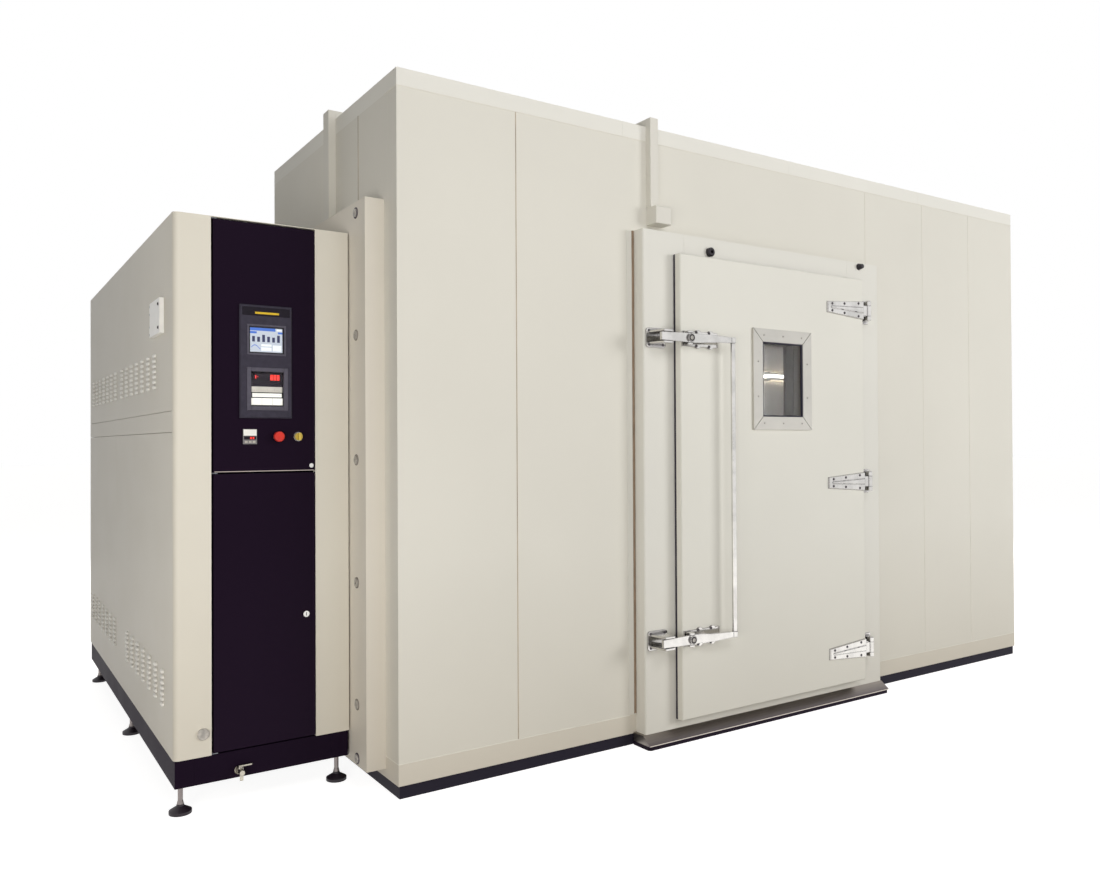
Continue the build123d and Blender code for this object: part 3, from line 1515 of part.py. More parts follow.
# Fan motors: the blower's behind the insulated wall, the condenser's on a cradle
with BuildPart() as fan_motors:
    rod((section_x[0] - rest_gap, blower_y, blower_z), (-1, 0, 0), motor_radius, motor_length)
    shaft_reach = blower_x + blower_width / 2 - section_x[0] + 6
    rod((section_x[0] - rest_gap, blower_y, blower_z), (1, 0, 0), shaft_radius, shaft_reach)
    motor_end = condenser_fan_y - condenser_fan_width / 2 - 12
    motor_start = (condenser_x, motor_end, condenser_z)
    rod(motor_start, (0, -1, 0), motor_radius, motor_length)
    rod(motor_start, (0, 1, 0), shaft_radius, condenser_fan_width + 18)
    cradle_y = (motor_end - motor_length + 20, motor_end - 20)
    block(
        (condenser_x - 20, condenser_x + 20),
        cradle_y,
        (base_top + floor_plate, condenser_z - motor_radius * 0.9),
    )
fan_motors.part.label = "fan_motors"
export_step(fan_motors.part, "parts/fan_motors.step")

condenser_wheel = fan_wheel(
    condenser_hub_radius,
    condenser_fan_radius,
    condenser_fan_width,
    condenser_blades,
    condenser_blade_pitch,
)
with BuildPart() as condenser_fan:
    with Locations(Plane(origin=(condenser_x, condenser_fan_y, condenser_z), z_dir=(0, 1, 0))):
        add(condenser_wheel)
condenser_fan.part.label = "condenser_fan"
export_step(condenser_fan.part, "parts/condenser_fan.step")

# Finned coils: the evaporator in the air section and the condenser at the rear
coil_inset = shroud_thickness + coil_gap
with BuildPart() as finned_coils:
    finned_coil(
        (section_inner_x[0] + 10, section_inner_y[0] + coil_gap, coil_bottom),
        (section_inner_y[1] - section_inner_y[0] - 2 * coil_gap, coil_depth, coil_height),
        coil_fins,
        "y",
        (coil_tubes_high, coil_tubes_deep),
    )
    finned_coil(
        (shroud_x[0] + coil_inset, condenser_back - condenser_depth, condenser_bottom),
        (shroud_x[1] - shroud_x[0] - 2 * coil_inset, condenser_depth, condenser_height),
        condenser_fins,
        "x",
        (6, 1),
    )
finned_coils.part.label = "finned_coils"
export_step(finned_coils.part, "parts/finned_coils.step")

# Hermetic compressors on the machine's floor: domed cans on flat feet
with BuildPart() as compressors:
    for setback in compressor_back_setbacks:
        foot_z = base_top + floor_plate
        place = (condenser_x, machine_back - setback)
        with BuildSketch(Plane.XY.offset(foot_z)) as feet:
            with Locations(place):
                RectangleRounded(2.3 * compressor_radius, 2.3 * compressor_radius, 20)
        extrude(feet.sketch, amount=8)
        with BuildSketch(Plane.XY.offset(foot_z + 8)) as can:
            with Locations(place):
                Circle(compressor_radius)
        extrude(can.sketch, amount=compressor_height)
    tops = compressors.faces().filter_by(Axis.Z).filter_by(GeomType.PLANE)
    crowns = [face for face in tops if face.center().Z > foot_z + compressor_height]
    fillet([edge for face in crowns for edge in face.edges()], compressor_radius * 0.45)
compressors.part.label = "compressors"
export_step(compressors.part, "parts/compressors.step")

# Humidifier water tank behind the lower front door, with its filler cap
with BuildPart() as water_tank:
    tank_x = (machine_left + tank_across[0], machine_left + tank_across[1])
    tank_y = (machine_front + tank_setbacks[0], machine_front + tank_setbacks[1])
    block(tank_x, tank_y, (base_top + floor_plate, base_top + floor_plate + tank_height))
    fillet(water_tank.edges().filter_by(Axis.Z), 24)
    cap_place = (between(*tank_x), between(*tank_y), base_top + floor_plate + tank_height)
    rod(cap_place, (0, 0, 1), 38, 22)
water_tank.part.label = "water_tank"
export_step(water_tank.part, "parts/water_tank.step")

# Electrical plate behind the control panel, with its rows of switchgear
with BuildPart() as electrical_box:
    plate_x = (machine_left + electrical_across[0], machine_left + electrical_across[1])
    plate_front = machine_front + electrical_setback
    plate_z = (electrical_bottom, frame_ceiling - post - post_gap)
    block(plate_x, (plate_front, plate_front + electrical_thickness), plate_z)
    for row in range(3):
        low = plate_z[0] + 50 + row * 190
        for place in range(6):
            x = plate_x[0] + 60 + place * 76
            gear_y = (plate_front - switchgear_depth + 12 * (place % 2), plate_front)
            block((x, x + 56), gear_y, (low, low + 90 + 12 * (place % 2)))
electrical_box.part.label = "electrical_box"
export_step(electrical_box.part, "parts/electrical_box.step")
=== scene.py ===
from math import pi, radians, sin

import bmesh
import bpy
from mathutils import Euler, Matrix, Vector


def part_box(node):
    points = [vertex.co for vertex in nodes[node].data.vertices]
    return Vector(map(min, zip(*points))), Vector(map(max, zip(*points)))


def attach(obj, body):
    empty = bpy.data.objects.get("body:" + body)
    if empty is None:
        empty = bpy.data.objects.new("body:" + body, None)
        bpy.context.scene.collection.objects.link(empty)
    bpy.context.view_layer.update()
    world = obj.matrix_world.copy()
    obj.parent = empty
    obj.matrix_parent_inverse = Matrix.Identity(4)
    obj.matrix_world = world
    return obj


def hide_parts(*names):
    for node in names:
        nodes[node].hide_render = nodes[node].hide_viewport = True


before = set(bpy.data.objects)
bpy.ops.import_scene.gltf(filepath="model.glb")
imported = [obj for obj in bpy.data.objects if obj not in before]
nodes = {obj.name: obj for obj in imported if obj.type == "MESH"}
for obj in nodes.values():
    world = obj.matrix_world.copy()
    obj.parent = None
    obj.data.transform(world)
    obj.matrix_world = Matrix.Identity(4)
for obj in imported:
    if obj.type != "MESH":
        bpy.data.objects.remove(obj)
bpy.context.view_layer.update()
scene = bpy.context.scene


# The camera stands to the left of the machine's corner, at chest height, and looks
# along the front wall with a moderately wide lens, as the photographer did.
camera_place = Vector((-3.137, -3.570, 1.210))
camera_turn = radians(33.35)
camera_tilt = radians(0.53)
camera_roll = radians(-0.29)
camera_data = bpy.data.cameras.new("camera")
camera_data.lens = 29.58
camera_data.shift_x = -0.0019
camera_data.shift_y = -0.0112
camera = bpy.data.objects.new("camera", camera_data)
aim = Euler((pi / 2 + camera_tilt, 0, -camera_turn)).to_matrix()
aim = aim @ Matrix.Rotation(camera_roll, 3, "Z")
camera.matrix_world = Matrix.Translation(camera_place) @ aim.to_4x4()
scene.collection.objects.link(camera)
scene.camera = camera
scene.view_settings.view_transform = "Standard"


# A pale floor and white surroundings. They show white to the camera, in gloss and through
# glass, and light the object at a lower, warmer level, so that pale panels keep their colour.
def feed(tree, value, socket):
    """Gives a socket a link or a plain value."""
    if isinstance(value, bpy.types.NodeSocket):
        tree.links.new(value, socket)
    else:
        socket.default_value = value


def ranged(tree, value, low, high, start=0.0, stop=1.0):
    """A value carried from one range to another."""
    made = tree.nodes.new("ShaderNodeMapRange")
    for title, limit in (("From Min", start), ("From Max", stop), ("To Min", low), ("To Max", high)):
        feed(tree, limit, made.inputs[title])
    tree.links.new(value, made.inputs["Value"])
    return made.outputs["Result"]


def maths(tree, operation, *values):
    """A sum on sockets and plain numbers."""
    made = tree.nodes.new("ShaderNodeMath")
    made.operation = operation
    for value, socket in zip(values, made.inputs):
        feed(tree, value, socket)
    return made.outputs[0]


def seen_directly(tree):
    """One for the camera, gloss and glass, nought for the light that falls on the object."""
    rays = tree.nodes.new("ShaderNodeLightPath").outputs
    seen = maths(tree, "MAXIMUM", rays["Is Camera Ray"], rays["Is Glossy Ray"])
    return maths(tree, "MAXIMUM", seen, rays["Is Transmission Ray"])


def blended(tree, share, first, second, kind="RGBA"):
    """A colour or value between two others, by a share from nought to one."""
    mix = tree.nodes.new("ShaderNodeMix")
    mix.data_type = kind
    for title, value in (("Factor", share), ("A", first), ("B", second)):
        feed(tree, value, mix.inputs[title])
    return mix.outputs["Result"]


def new_material(name):
    """A fresh material, its nodes and its shader."""
    made = bpy.data.materials.new(name)
    made.use_nodes = True
    return made, made.node_tree, made.node_tree.nodes["Principled BSDF"]


world = bpy.data.worlds.new("surroundings")
scene.world = world
world.use_nodes = True
sky_tree = world.node_tree
sky = sky_tree.nodes["Background"]
sky_seen = seen_directly(sky_tree)
sky_tint = blended(sky_tree, sky_seen, (1.0, 0.98, 0.95, 1), (1.0, 1.0, 1.0, 1))
sky_tree.links.new(sky_tint, sky.inputs["Color"])
sky_tree.links.new(ranged(sky_tree, sky_seen, 0.12, 1.0), sky.inputs["Strength"])

floor_mesh = bpy.data.meshes.new("floor")
sheet = bmesh.new()
bmesh.ops.create_grid(sheet, x_segments=1, y_segments=1, size=60)
sheet.to_mesh(floor_mesh)
sheet.free()
floor = bpy.data.objects.new("floor", floor_mesh)
scene.collection.objects.link(floor)
floor_paint, floor_tree, floor_shader = new_material("floor_paint")
floor_shader.inputs["Base Color"].default_value = (0.50, 0.485, 0.465, 1)
floor_shader.inputs["Roughness"].default_value = 0.9
floor_shader.inputs["Specular IOR Level"].default_value = 0.1
floor_shader.inputs["Emission Color"].default_value = (1, 1, 1, 1)
floor_glow = ranged(floor_tree, seen_directly(floor_tree), 0.0, 0.90)
floor_tree.links.new(floor_glow, floor_shader.inputs["Emission Strength"])
floor_mesh.materials.append(floor_paint)


# The lamps are large and soft: a key over the door, a fill and a low lamp at the machine's
# corner, one in front to the right, and three for the back, the roof and the right end.
def softbox(name, place, target, size, watts, color=(1, 1, 1)):
    """A large soft lamp that faces a target, and doesn't show in gloss."""
    data = bpy.data.lights.new(name, "AREA")
    data.shape = "RECTANGLE"
    data.size, data.size_y = size
    data.energy = watts
    data.color = color
    lamp = bpy.data.objects.new(name, data)
    lamp.location = place
    lamp.rotation_euler = (Vector(target) - Vector(place)).to_track_quat("-Z", "Y").to_euler()
    lamp.visible_glossy = False
    scene.collection.objects.link(lamp)


warm = (1.0, 0.98, 0.95)
softbox("key", (-1.1, -3.9, 3.7), (-0.7, -0.7, 2.0), (2.2, 1.2), 40)
softbox("fill", (-4.7, -4.7, 0.9), (-2.2, -0.4, 1.1), (1.8, 1.6), 80, warm)
softbox("low", (-4.2, -2.6, 0.7), (-2.5, 0.0, 0.9), (1.0, 1.0), 21, warm)
softbox("side", (3.6, -5.2, 2.4), (0.8, -0.7, 1.2), (2.6, 2.0), 168)
softbox("back", (-1.0, 6.6, 3.6), (-0.6, 0.8, 1.2), (5.0, 3.0), 200)
softbox("roof", (0.4, 2.6, 6.6), (-0.2, 0.2, 2.5), (5.0, 4.0), 120)
softbox("end", (7.4, 1.6, 3.2), (1.9, 0.2, 1.2), (3.0, 3.0), 130)


# Coated sheet steel, the skin of nearly every panel: an even colour with a faint
# unevenness, a fine orange-peel texture, and a little more dust towards the floor.
def tint(red, green, blue):
    """A paint colour from its values out of 255, as a colour chart gives them."""
    straight = [
        v / 12.92 if v <= 0.04045 else ((v + 0.055) / 1.055) ** 2.4
        for v in (red / 255, green / 255, blue / 255)
    ]
    return (*straight, 1)


def group_of(name, inputs, outputs):
    """An empty shader node group with named sockets, and its two end nodes."""
    tree = bpy.data.node_groups.new(name, "ShaderNodeTree")
    for title, kind, value in inputs:
        socket = tree.interface.new_socket(title, in_out="INPUT", socket_type=kind)
        socket.default_value = value
    for title, kind in outputs:
        tree.interface.new_socket(title, in_out="OUTPUT", socket_type=kind)
    return tree, tree.nodes.new("NodeGroupInput"), tree.nodes.new("NodeGroupOutput")


def own_spot(tree):
    """The object's own coordinates."""
    return tree.nodes.new("ShaderNodeTexCoord").outputs["Object"]


def coordinate(tree, spot, axis):
    """How far a spot lies along X, Y or Z."""
    split = tree.nodes.new("ShaderNodeSeparateXYZ")
    tree.links.new(spot, split.inputs["Vector"])
    return split.outputs[axis]


def noise(tree, scale, detail, spot):
    """A noise texture."""
    made = tree.nodes.new("ShaderNodeTexNoise")
    made.inputs["Scale"].default_value = scale
    made.inputs["Detail"].default_value = detail
    tree.links.new(spot, made.inputs["Vector"])
    return made.outputs["Fac"]


def relief(tree, shader, height, strength, distance):
    """Fine relief on a surface."""
    bump = tree.nodes.new("ShaderNodeBump")
    bump.inputs["Strength"].default_value = strength
    bump.inputs["Distance"].default_value = distance
    tree.links.new(height, bump.inputs["Height"])
    tree.links.new(bump.outputs["Normal"], shader.inputs["Normal"])


def coating_group():
    """Patchy colour, orange peel and low dust for painted sheet."""
    tree, start, end = group_of(
        "sheet_coating",
        [
            ("Paint", "NodeSocketColor", (0.8, 0.8, 0.8, 1)),
            ("Dust", "NodeSocketColor", (0.5, 0.45, 0.4, 1)),
            ("Gloss", "NodeSocketFloat", 0.4),
            ("Dust Height", "NodeSocketFloat", 0.5),
        ],
        [("Color", "NodeSocketColor"), ("Roughness", "NodeSocketFloat"), ("Peel", "NodeSocketFloat")],
    )
    spot = own_spot(tree)
    patches = tree.nodes.new("ShaderNodeVectorMath")
    patches.operation = "SCALE"
    tree.links.new(start.outputs["Paint"], patches.inputs[0])
    brightness = ranged(tree, noise(tree, 1.3, 4, spot), 0.975, 1.015, 0.3, 0.7)
    tree.links.new(brightness, patches.inputs["Scale"])
    dust_share = ranged(
        tree, coordinate(tree, spot, "Z"), 0.30, 0.0, 0.0, start.outputs["Dust Height"]
    )
    dusty = blended(tree, dust_share, patches.outputs["Vector"], start.outputs["Dust"])
    rough = maths(tree, "MULTIPLY_ADD", noise(tree, 6, 5, spot), 0.12, start.outputs["Gloss"])
    peel = noise(tree, 160, 2, spot)
    for value, title in ((dusty, "Color"), (rough, "Roughness"), (peel, "Peel")):
        tree.links.new(value, end.inputs[title])
    return tree


coating = coating_group()


def coated(name, color, dust, gloss=0.38, dust_height=0.8, peel=0.06, shine=0.12):
    """A paint on sheet metal, from the shared coating group."""
    made, tree, shader = new_material(name)
    layer = tree.nodes.new("ShaderNodeGroup")
    layer.node_tree = coating
    layer.inputs["Paint"].default_value = tint(*color)
    layer.inputs["Dust"].default_value = tint(*dust)
    layer.inputs["Gloss"].default_value = gloss
    layer.inputs["Dust Height"].default_value = dust_height
    tree.links.new(layer.outputs["Color"], shader.inputs["Base Color"])
    tree.links.new(layer.outputs["Roughness"], shader.inputs["Roughness"])
    relief(tree, shader, layer.outputs["Peel"], peel, 0.001)
    shader.inputs["Specular IOR Level"].default_value = shine
    return made


def dress(material, *names):
    """Gives CAD nodes their finish."""
    for name in names:
        mesh = nodes[name].data
        mesh.materials.clear()
        mesh.materials.append(material)


# The chamber: foam-filled panels with a skin of coated steel, warm off-white outside and
# a liner of brushed stainless steel inside, joined at hairline seams.
def liner_group(low, high):
    """One inside the chamber's liner, nothing outside it."""
    tree, _, end = group_of("liner_place", [], [("Inside", "NodeSocketFloat")])
    spot = own_spot(tree)
    inside = 1.0
    for axis, limits in zip("XYZ", zip(low, high)):
        place = coordinate(tree, spot, axis)
        for limit, test in zip(limits, ("GREATER_THAN", "LESS_THAN")):
            inside = maths(tree, "MULTIPLY", maths(tree, test, place, limit), inside)
    tree.links.new(inside, end.inputs["Inside"])
    return tree


wall_thickness = 0.075
liner_slack = 0.002
liner_inset = wall_thickness - liner_slack
wall_low, wall_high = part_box("front_wall")
shell_low, shell_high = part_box("ceiling_panels")
liner_place = liner_group(
    (shell_low[0] + liner_inset, shell_low[1] + liner_inset, wall_low[2] - liner_slack),
    (shell_high[0] - liner_inset, shell_high[1] - liner_inset, wall_high[2] + liner_slack),
)
liner_steel = tint(176, 168, 155)
liner_roughness = 0.36
liner_metal = 0.55


def lined(made):
    """Turns a paint into stainless steel wherever a panel faces the chamber's inside."""
    tree = made.node_tree
    shader = tree.nodes["Principled BSDF"]
    place = tree.nodes.new("ShaderNodeGroup")
    place.node_tree = liner_place
    inside = place.outputs["Inside"]
    for title, steel, kind in (
        ("Base Color", liner_steel, "RGBA"),
        ("Roughness", liner_roughness, "FLOAT"),
    ):
        socket = shader.inputs[title]
        paint = socket.links[0].from_socket
        tree.links.new(blended(tree, inside, paint, steel, kind), socket)
    tree.links.new(ranged(tree, inside, 0.0, liner_metal), shader.inputs["Metallic"])
    return made


panel_white = lined(coated("panel_white", (224, 221, 211), dust=(190, 180, 162)))
dress(panel_white, "front_wall", "back_wall", "right_wall", "left_wall")
cap_white = lined(coated("cap_white", (232, 230, 222), dust=(190, 180, 162)))
dress(cap_white, "ceiling_panels")
foot_white = lined(coated("foot_white", (218, 212, 199), dust=(176, 164, 146), dust_height=0.3))
dress(foot_white, "floor_panels")


# Sealant in the panel seams: narrow beads, smoothed with a finger, browned next to the
# machine and paler elsewhere. Two run level, over the floor panels and under the ceiling.
def finish_piece(name, work, material, body):
    """Makes a finished bmesh a piece of the object, on the body that carries it."""
    mesh = bpy.data.meshes.new(name)
    work.to_mesh(mesh)
    work.free()
    mesh.materials.append(material)
    made = bpy.data.objects.new(name, mesh)
    scene.collection.objects.link(made)
    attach(made, body)
    return made


def add_slab(work, low, high, edge=0.0):
    """A block between two corners, its edges rounded over, in a bmesh."""
    size = [b - a for a, b in zip(low, high)]
    middle = Vector([(a + b) / 2 for a, b in zip(low, high)])
    place = Matrix.Translation(middle) @ Matrix.Diagonal((*size, 1))
    corners = bmesh.ops.create_cube(work, size=1, matrix=place)["verts"]
    if edge:
        bmesh.ops.bevel(
            work,
            geom=list(dict.fromkeys(side for corner in corners for side in corner.link_edges)),
            offset=edge,
            offset_type="OFFSET",
            segments=2,
            profile=0.5,
            affect="EDGES",
            material=-1,
        )


def ramped(tree, value, first, second, start=0.0, stop=1.0):
    """A colour that goes with a value from one colour to another."""
    ramp = tree.nodes.new("ShaderNodeValToRGB")
    steps = ramp.color_ramp.elements
    for step, place, color in ((steps[0], start, first), (steps[1], stop, second)):
        step.position = place
        step.color = color
    tree.links.new(value, ramp.inputs["Fac"])
    return ramp.outputs["Color"]


def shade(color, factor):
    """A darker or brighter shade of a paint colour."""
    return [min(1, factor * v) for v in tint(*color)[:3]] + [1]


def mottled(name, color, rough=0.6, spread=0.2, scale=45, shine=0.5):
    """Moulded rubber, plastic or sealant with a fine mottled surface."""
    made, tree, shader = new_material(name)
    spot = own_spot(tree)
    mottle = noise(tree, scale, 6, spot)
    shades = ramped(tree, mottle, shade(color, 1 - spread), shade(color, 1 + spread), 0.35, 0.65)
    tree.links.new(shades, shader.inputs["Base Color"])
    tree.links.new(ranged(tree, mottle, rough - 0.07, rough + 0.07), shader.inputs["Roughness"])
    relief(tree, shader, noise(tree, 900, 2, spot), 0.12, 0.0006)
    shader.inputs["Specular IOR Level"].default_value = shine
    return made


bead_width = 0.0034
bead_proud = 0.0012
bead_root = 0.001
bead_edge = 0.0005
flange_clear, frame_clear = 0.030, 0.004
chamber_left, chamber_front = shell_low[0], shell_low[1]
duct_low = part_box("duct_frame")[0]
frame_low, frame_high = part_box("door_frame")
over_door = frame_high[2] + 0.001
seam_brown = mottled("seam_brown", (176, 161, 142), 0.5, 0.2, 9)
seam_pale = mottled("seam_pale", (222, 218, 207), 0.45, 0.05, 12)
seam_beads = bmesh.new()
pale_beads = bmesh.new()
for work, setback, foot in (
    (seam_beads, 0.475, wall_low[2]),
    (pale_beads, 1.158, over_door),
    (pale_beads, 2.480, over_door),
    (pale_beads, 2.940, wall_low[2]),
    (pale_beads, 3.350, wall_low[2]),
):
    add_slab(
        work,
        (chamber_left + setback - bead_width / 2, chamber_front - bead_proud, foot),
        (chamber_left + setback + bead_width / 2, chamber_front + bead_root, wall_high[2]),
        bead_edge,
    )
side_seam = chamber_front + 0.352
add_slab(
    seam_beads,
    (chamber_left - bead_proud, side_seam - bead_width / 2, wall_low[2]),
    (chamber_left + bead_root, side_seam + bead_width / 2, wall_high[2]),
    bead_edge,
)
level_beads = bmesh.new()
for level, spans in (
    (
        wall_low[2],
        (
            (shell_low[0], frame_low[0] - flange_clear),
            (frame_high[0] + frame_clear, shell_high[0]),
        ),
    ),
    (wall_high[2], ((shell_low[0], shell_high[0]),)),
):
    for start, stop in spans:
        add_slab(
            level_beads,
            (start, chamber_front - bead_proud, level - bead_width / 2),
            (stop, chamber_front + bead_root, level + bead_width / 2),
            bead_edge,
        )
    add_slab(
        level_beads,
        (chamber_left - bead_proud, shell_low[1], level - bead_width / 2),
        (chamber_left + bead_root, duct_low[1] - 0.002, level + bead_width / 2),
        bead_edge,
    )
for name, work, sealant in (
    ("seam_beads", seam_beads, seam_brown),
    ("pale_beads", pale_beads, seam_pale),
    ("level_beads", level_beads, seam_pale),
):
    finish_piece(name, work, sealant, "chamber_and_machine")


# The skid under the floor panels: long rails and joists of steel channel bolted together,
# painted black, and dusty along the bottom.
skid_black = coated(
    "skid_black", (30, 26, 38), dust=(56, 54, 62), gloss=0.5, dust_height=0.12, shine=0.08
)
dress(skid_black, "base_frame")


# The door frame: a folded profile with foam behind it, screwed over the doorway. A flat
# flange laps the wall beside it, with a brown bead of sealant in the corner, dark enough to
# paint the shadow between frame and wall.
frame_white = coated("frame_white", (226, 224, 216), dust=(198, 190, 174), gloss=0.36)
dress(frame_white, "door_frame")


def beside_frame(name, gap, width, proud, edge, material):
    """A strip on the wall down both sides of the door frame."""
    work = bmesh.new()
    for near, far in (
        (frame_low[0] - gap - width, frame_low[0] - gap),
        (frame_high[0] + gap, frame_high[0] + gap + width),
    ):
        add_slab(
            work,
            (near, chamber_front - proud, wall_low[2] + strip_foot),
            (far, chamber_front + bead_root, frame_high[2]),
            edge,
        )
    finish_piece(name, work, material, "chamber_and_machine")


strip_foot = 0.004
corner_gap = 0.0003
corner_bead = 0.011
flange_width, flange_thickness = 0.026, 0.0016
# The brown corner bead is sealant coloured dark as painted shade in the corner between frame and
# wall.
corner_sealant_shade = mottled("corner_sealant_shade", (140, 120, 100), 0.45, 0.15, 14)
beside_frame("frame_flange", corner_bead, flange_width, flange_thickness, 0.0006, frame_white)
beside_frame("frame_sealant_shade", corner_gap, corner_bead - corner_gap, 0.004, 0.0015, corner_sealant_shade)


# The door leaf: a foamed slab with a folded skin and a plug behind it. Its bulb gasket is
# dark rubber, pinched between the leaf and the frame.
door_white = coated("door_white", (228, 226, 217), dust=(200, 192, 176), gloss=0.34)
dress(lined(door_white), "door_leaf")
gasket_rubber = mottled("gasket_rubber", (38, 33, 48), 0.55)
dress(gasket_rubber, "door_gasket", "duct_gasket")


# Brushed stainless steel: the threshold, the window's frames and the grilles. The grain
# runs along the sheet, so roughness and height come from stretched noise.
def brushed(name, color, stretch, rough=0.3, contrast=0.18):
    """Brushed sheet whose grain is long in the direction of the small stretch value."""
    made, tree, shader = new_material(name)
    shader.inputs["Metallic"].default_value = 1.0
    drawn = tree.nodes.new("ShaderNodeMapping")
    drawn.inputs["Scale"].default_value = stretch
    tree.links.new(own_spot(tree), drawn.inputs["Vector"])
    grain = noise(tree, 1, 4, drawn.outputs["Vector"])
    darker, brighter = shade(color, 1 - contrast), shade(color, 1 + 0.7 * contrast)
    tree.links.new(ramped(tree, grain, darker, brighter, 0.3, 0.7), shader.inputs["Base Color"])
    tree.links.new(ranged(tree, grain, rough - 0.08, rough + 0.12), shader.inputs["Roughness"])
    relief(tree, shader, grain, 0.08, 0.0004)
    return made


# The threshold: a brushed plate before the doorway, with painted shade where it slopes away
# from the frame, a painted highlight along its front edge, and a black rubber skirt below it.
sill_steel = brushed("sill_steel", (150, 143, 136), (6, 420, 420), 0.34, 0.16)
sill_low, sill_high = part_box("threshold_plate")
sill_tree = sill_steel.node_tree
sill_base = sill_tree.nodes["Principled BSDF"].inputs["Base Color"]
# Painted shade: the plate turns dark purple-grey where it slopes away from the frame.
shade_from, shade_full = frame_low[1] - 0.006, frame_low[1] - 0.062
sill_depth = coordinate(sill_tree, own_spot(sill_tree), "Y")
sill_painted_shade = ranged(sill_tree, sill_depth, 0.0, 1.0, shade_from, shade_full)
sill_tree.links.new(
    blended(sill_tree, sill_painted_shade, sill_base.links[0].from_socket, tint(86, 78, 88)), sill_base
)
dress(sill_steel, "threshold_plate")
# A brighter steel strip along the front edge is a painted highlight.
highlight_steel = brushed("highlight_steel", (214, 206, 194), (6, 90, 90), 0.3, 0.08)
sill_highlight = bmesh.new()
add_slab(
    sill_highlight,
    (sill_low[0] + 0.001, sill_low[1] - 0.0006, sill_low[2] + 0.0010),
    (sill_high[0] - 0.001, sill_low[1] + 0.0012, sill_low[2] + 0.0038),
    0.0004,
)
finish_piece("sill_highlight", sill_highlight, highlight_steel, "chamber_and_machine")
dress(mottled("skirt_rubber", (26, 16, 30), 0.6, shine=0.1), "threshold_skirt")


# Screws hold the window's frame and the castings: steel heads that taper to a raised top,
# with a round recess in it.
screw_steel = brushed("screw_steel", (176, 172, 166), (90, 90, 90), 0.3)
# Near black for the flap's catches, and painted shade in the key slot and round the latch pivots.
black_and_painted_shade = mottled("black_and_painted_shade", (46, 42, 44), 0.6)
screw_sides = 14


def add_screw(work, place, normal, radius, height):
    """A screw head that stands on a face, its recess turned outwards."""
    stand = Vector(normal).to_track_quat("Z", "Y").to_matrix().to_4x4()
    middle = Vector(place) + Vector(normal) * height / 2
    head = bmesh.ops.create_cone(
        work,
        segments=screw_sides,
        radius1=radius,
        radius2=0.72 * radius,
        depth=height,
        cap_ends=True,
        matrix=Matrix.Translation(middle) @ stand,
    )["verts"]
    faces = {face for corner in head for face in corner.link_faces}
    top = max(faces, key=lambda face: face.calc_center_median().dot(Vector(normal)))
    bmesh.ops.inset_region(work, faces=[top], thickness=0.30 * radius)
    bmesh.ops.translate(work, verts=top.verts, vec=Vector(normal) * 0.12 * height)
    bmesh.ops.inset_region(work, faces=[top], thickness=0.06 * radius)
    bmesh.ops.translate(work, verts=top.verts, vec=Vector(normal) * -0.6 * height)


def screw_set(name, places, radius, height, body, finish=screw_steel):
    """Like screws that face the front, as one piece."""
    work = bmesh.new()
    for place in places:
        add_screw(work, place, (0, -1, 0), radius, height)
    finish_piece(name, work, finish, body)


# The door's window: mitred stainless frames on both faces of the leaf, a black glazing
# bead, and three clear panes kept apart by spacers.
def add_ring(work, low, high, width, near, far, edge):
    """A square ring of four bars between two corners in X and Z, standing on a face."""
    for x in ((low[0], low[0] + width), (high[0] - width, high[0])):
        add_slab(work, (x[0], near, low[1]), (x[1], far, high[1]), edge)
    for z in ((low[1], low[1] + width), (high[1] - width, high[1])):
        add_slab(work, (low[0] + width, near, z[0]), (high[0] - width, far, z[1]), edge)


frame_steel = brushed("frame_steel", (206, 203, 196), (9, 9, 9), 0.4, 0.06)
dress(frame_steel, "window_frames")
window_low, window_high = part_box("window_panes")
trim_low, trim_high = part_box("window_frames")
window_x = (window_low[0] + window_high[0]) / 2
window_z = (window_low[2] + window_high[2]) / 2
trim_width = 0.058
trim_face = trim_low[1]
screw_rows = (trim_low[2] + trim_width / 2, trim_high[2] - trim_width / 2)
window_screws = [(window_x + x, trim_face, z) for z in screw_rows for x in (-0.118, 0, 0.118)]
for x in (trim_low[0] + trim_width / 2, trim_high[0] - trim_width / 2):
    window_screws += [(x, trim_face, window_z + z) for z in (-0.075, 0.075)]
screw_set("window_screws", window_screws, 0.0042, 0.0022, "door")
glazing = bmesh.new()
add_ring(
    glazing,
    (trim_low[0] + trim_width, trim_low[2] + trim_width),
    (trim_high[0] - trim_width, trim_high[2] - trim_width),
    0.006,
    trim_face + 0.002,
    window_low[1],
    0.001,
)
finish_piece("glazing_bead", glazing, gasket_rubber, "door")
window_glass, glass_tree, glass_shader = new_material("window_glass")
glass_shader.inputs["Transmission Weight"].default_value = 1.0
glass_shader.inputs["IOR"].default_value = 1.12
glass_haze = noise(glass_tree, 9, 3, own_spot(glass_tree))
glass_tone = ramped(glass_tree, glass_haze, (0.95, 0.95, 0.945, 1), (0.99, 0.99, 0.985, 1))
glass_tree.links.new(glass_tone, glass_shader.inputs["Base Color"])
glass_tree.links.new(ranged(glass_tree, glass_haze, 0.0, 0.02), glass_shader.inputs["Roughness"])
dress(window_glass, "window_panes")
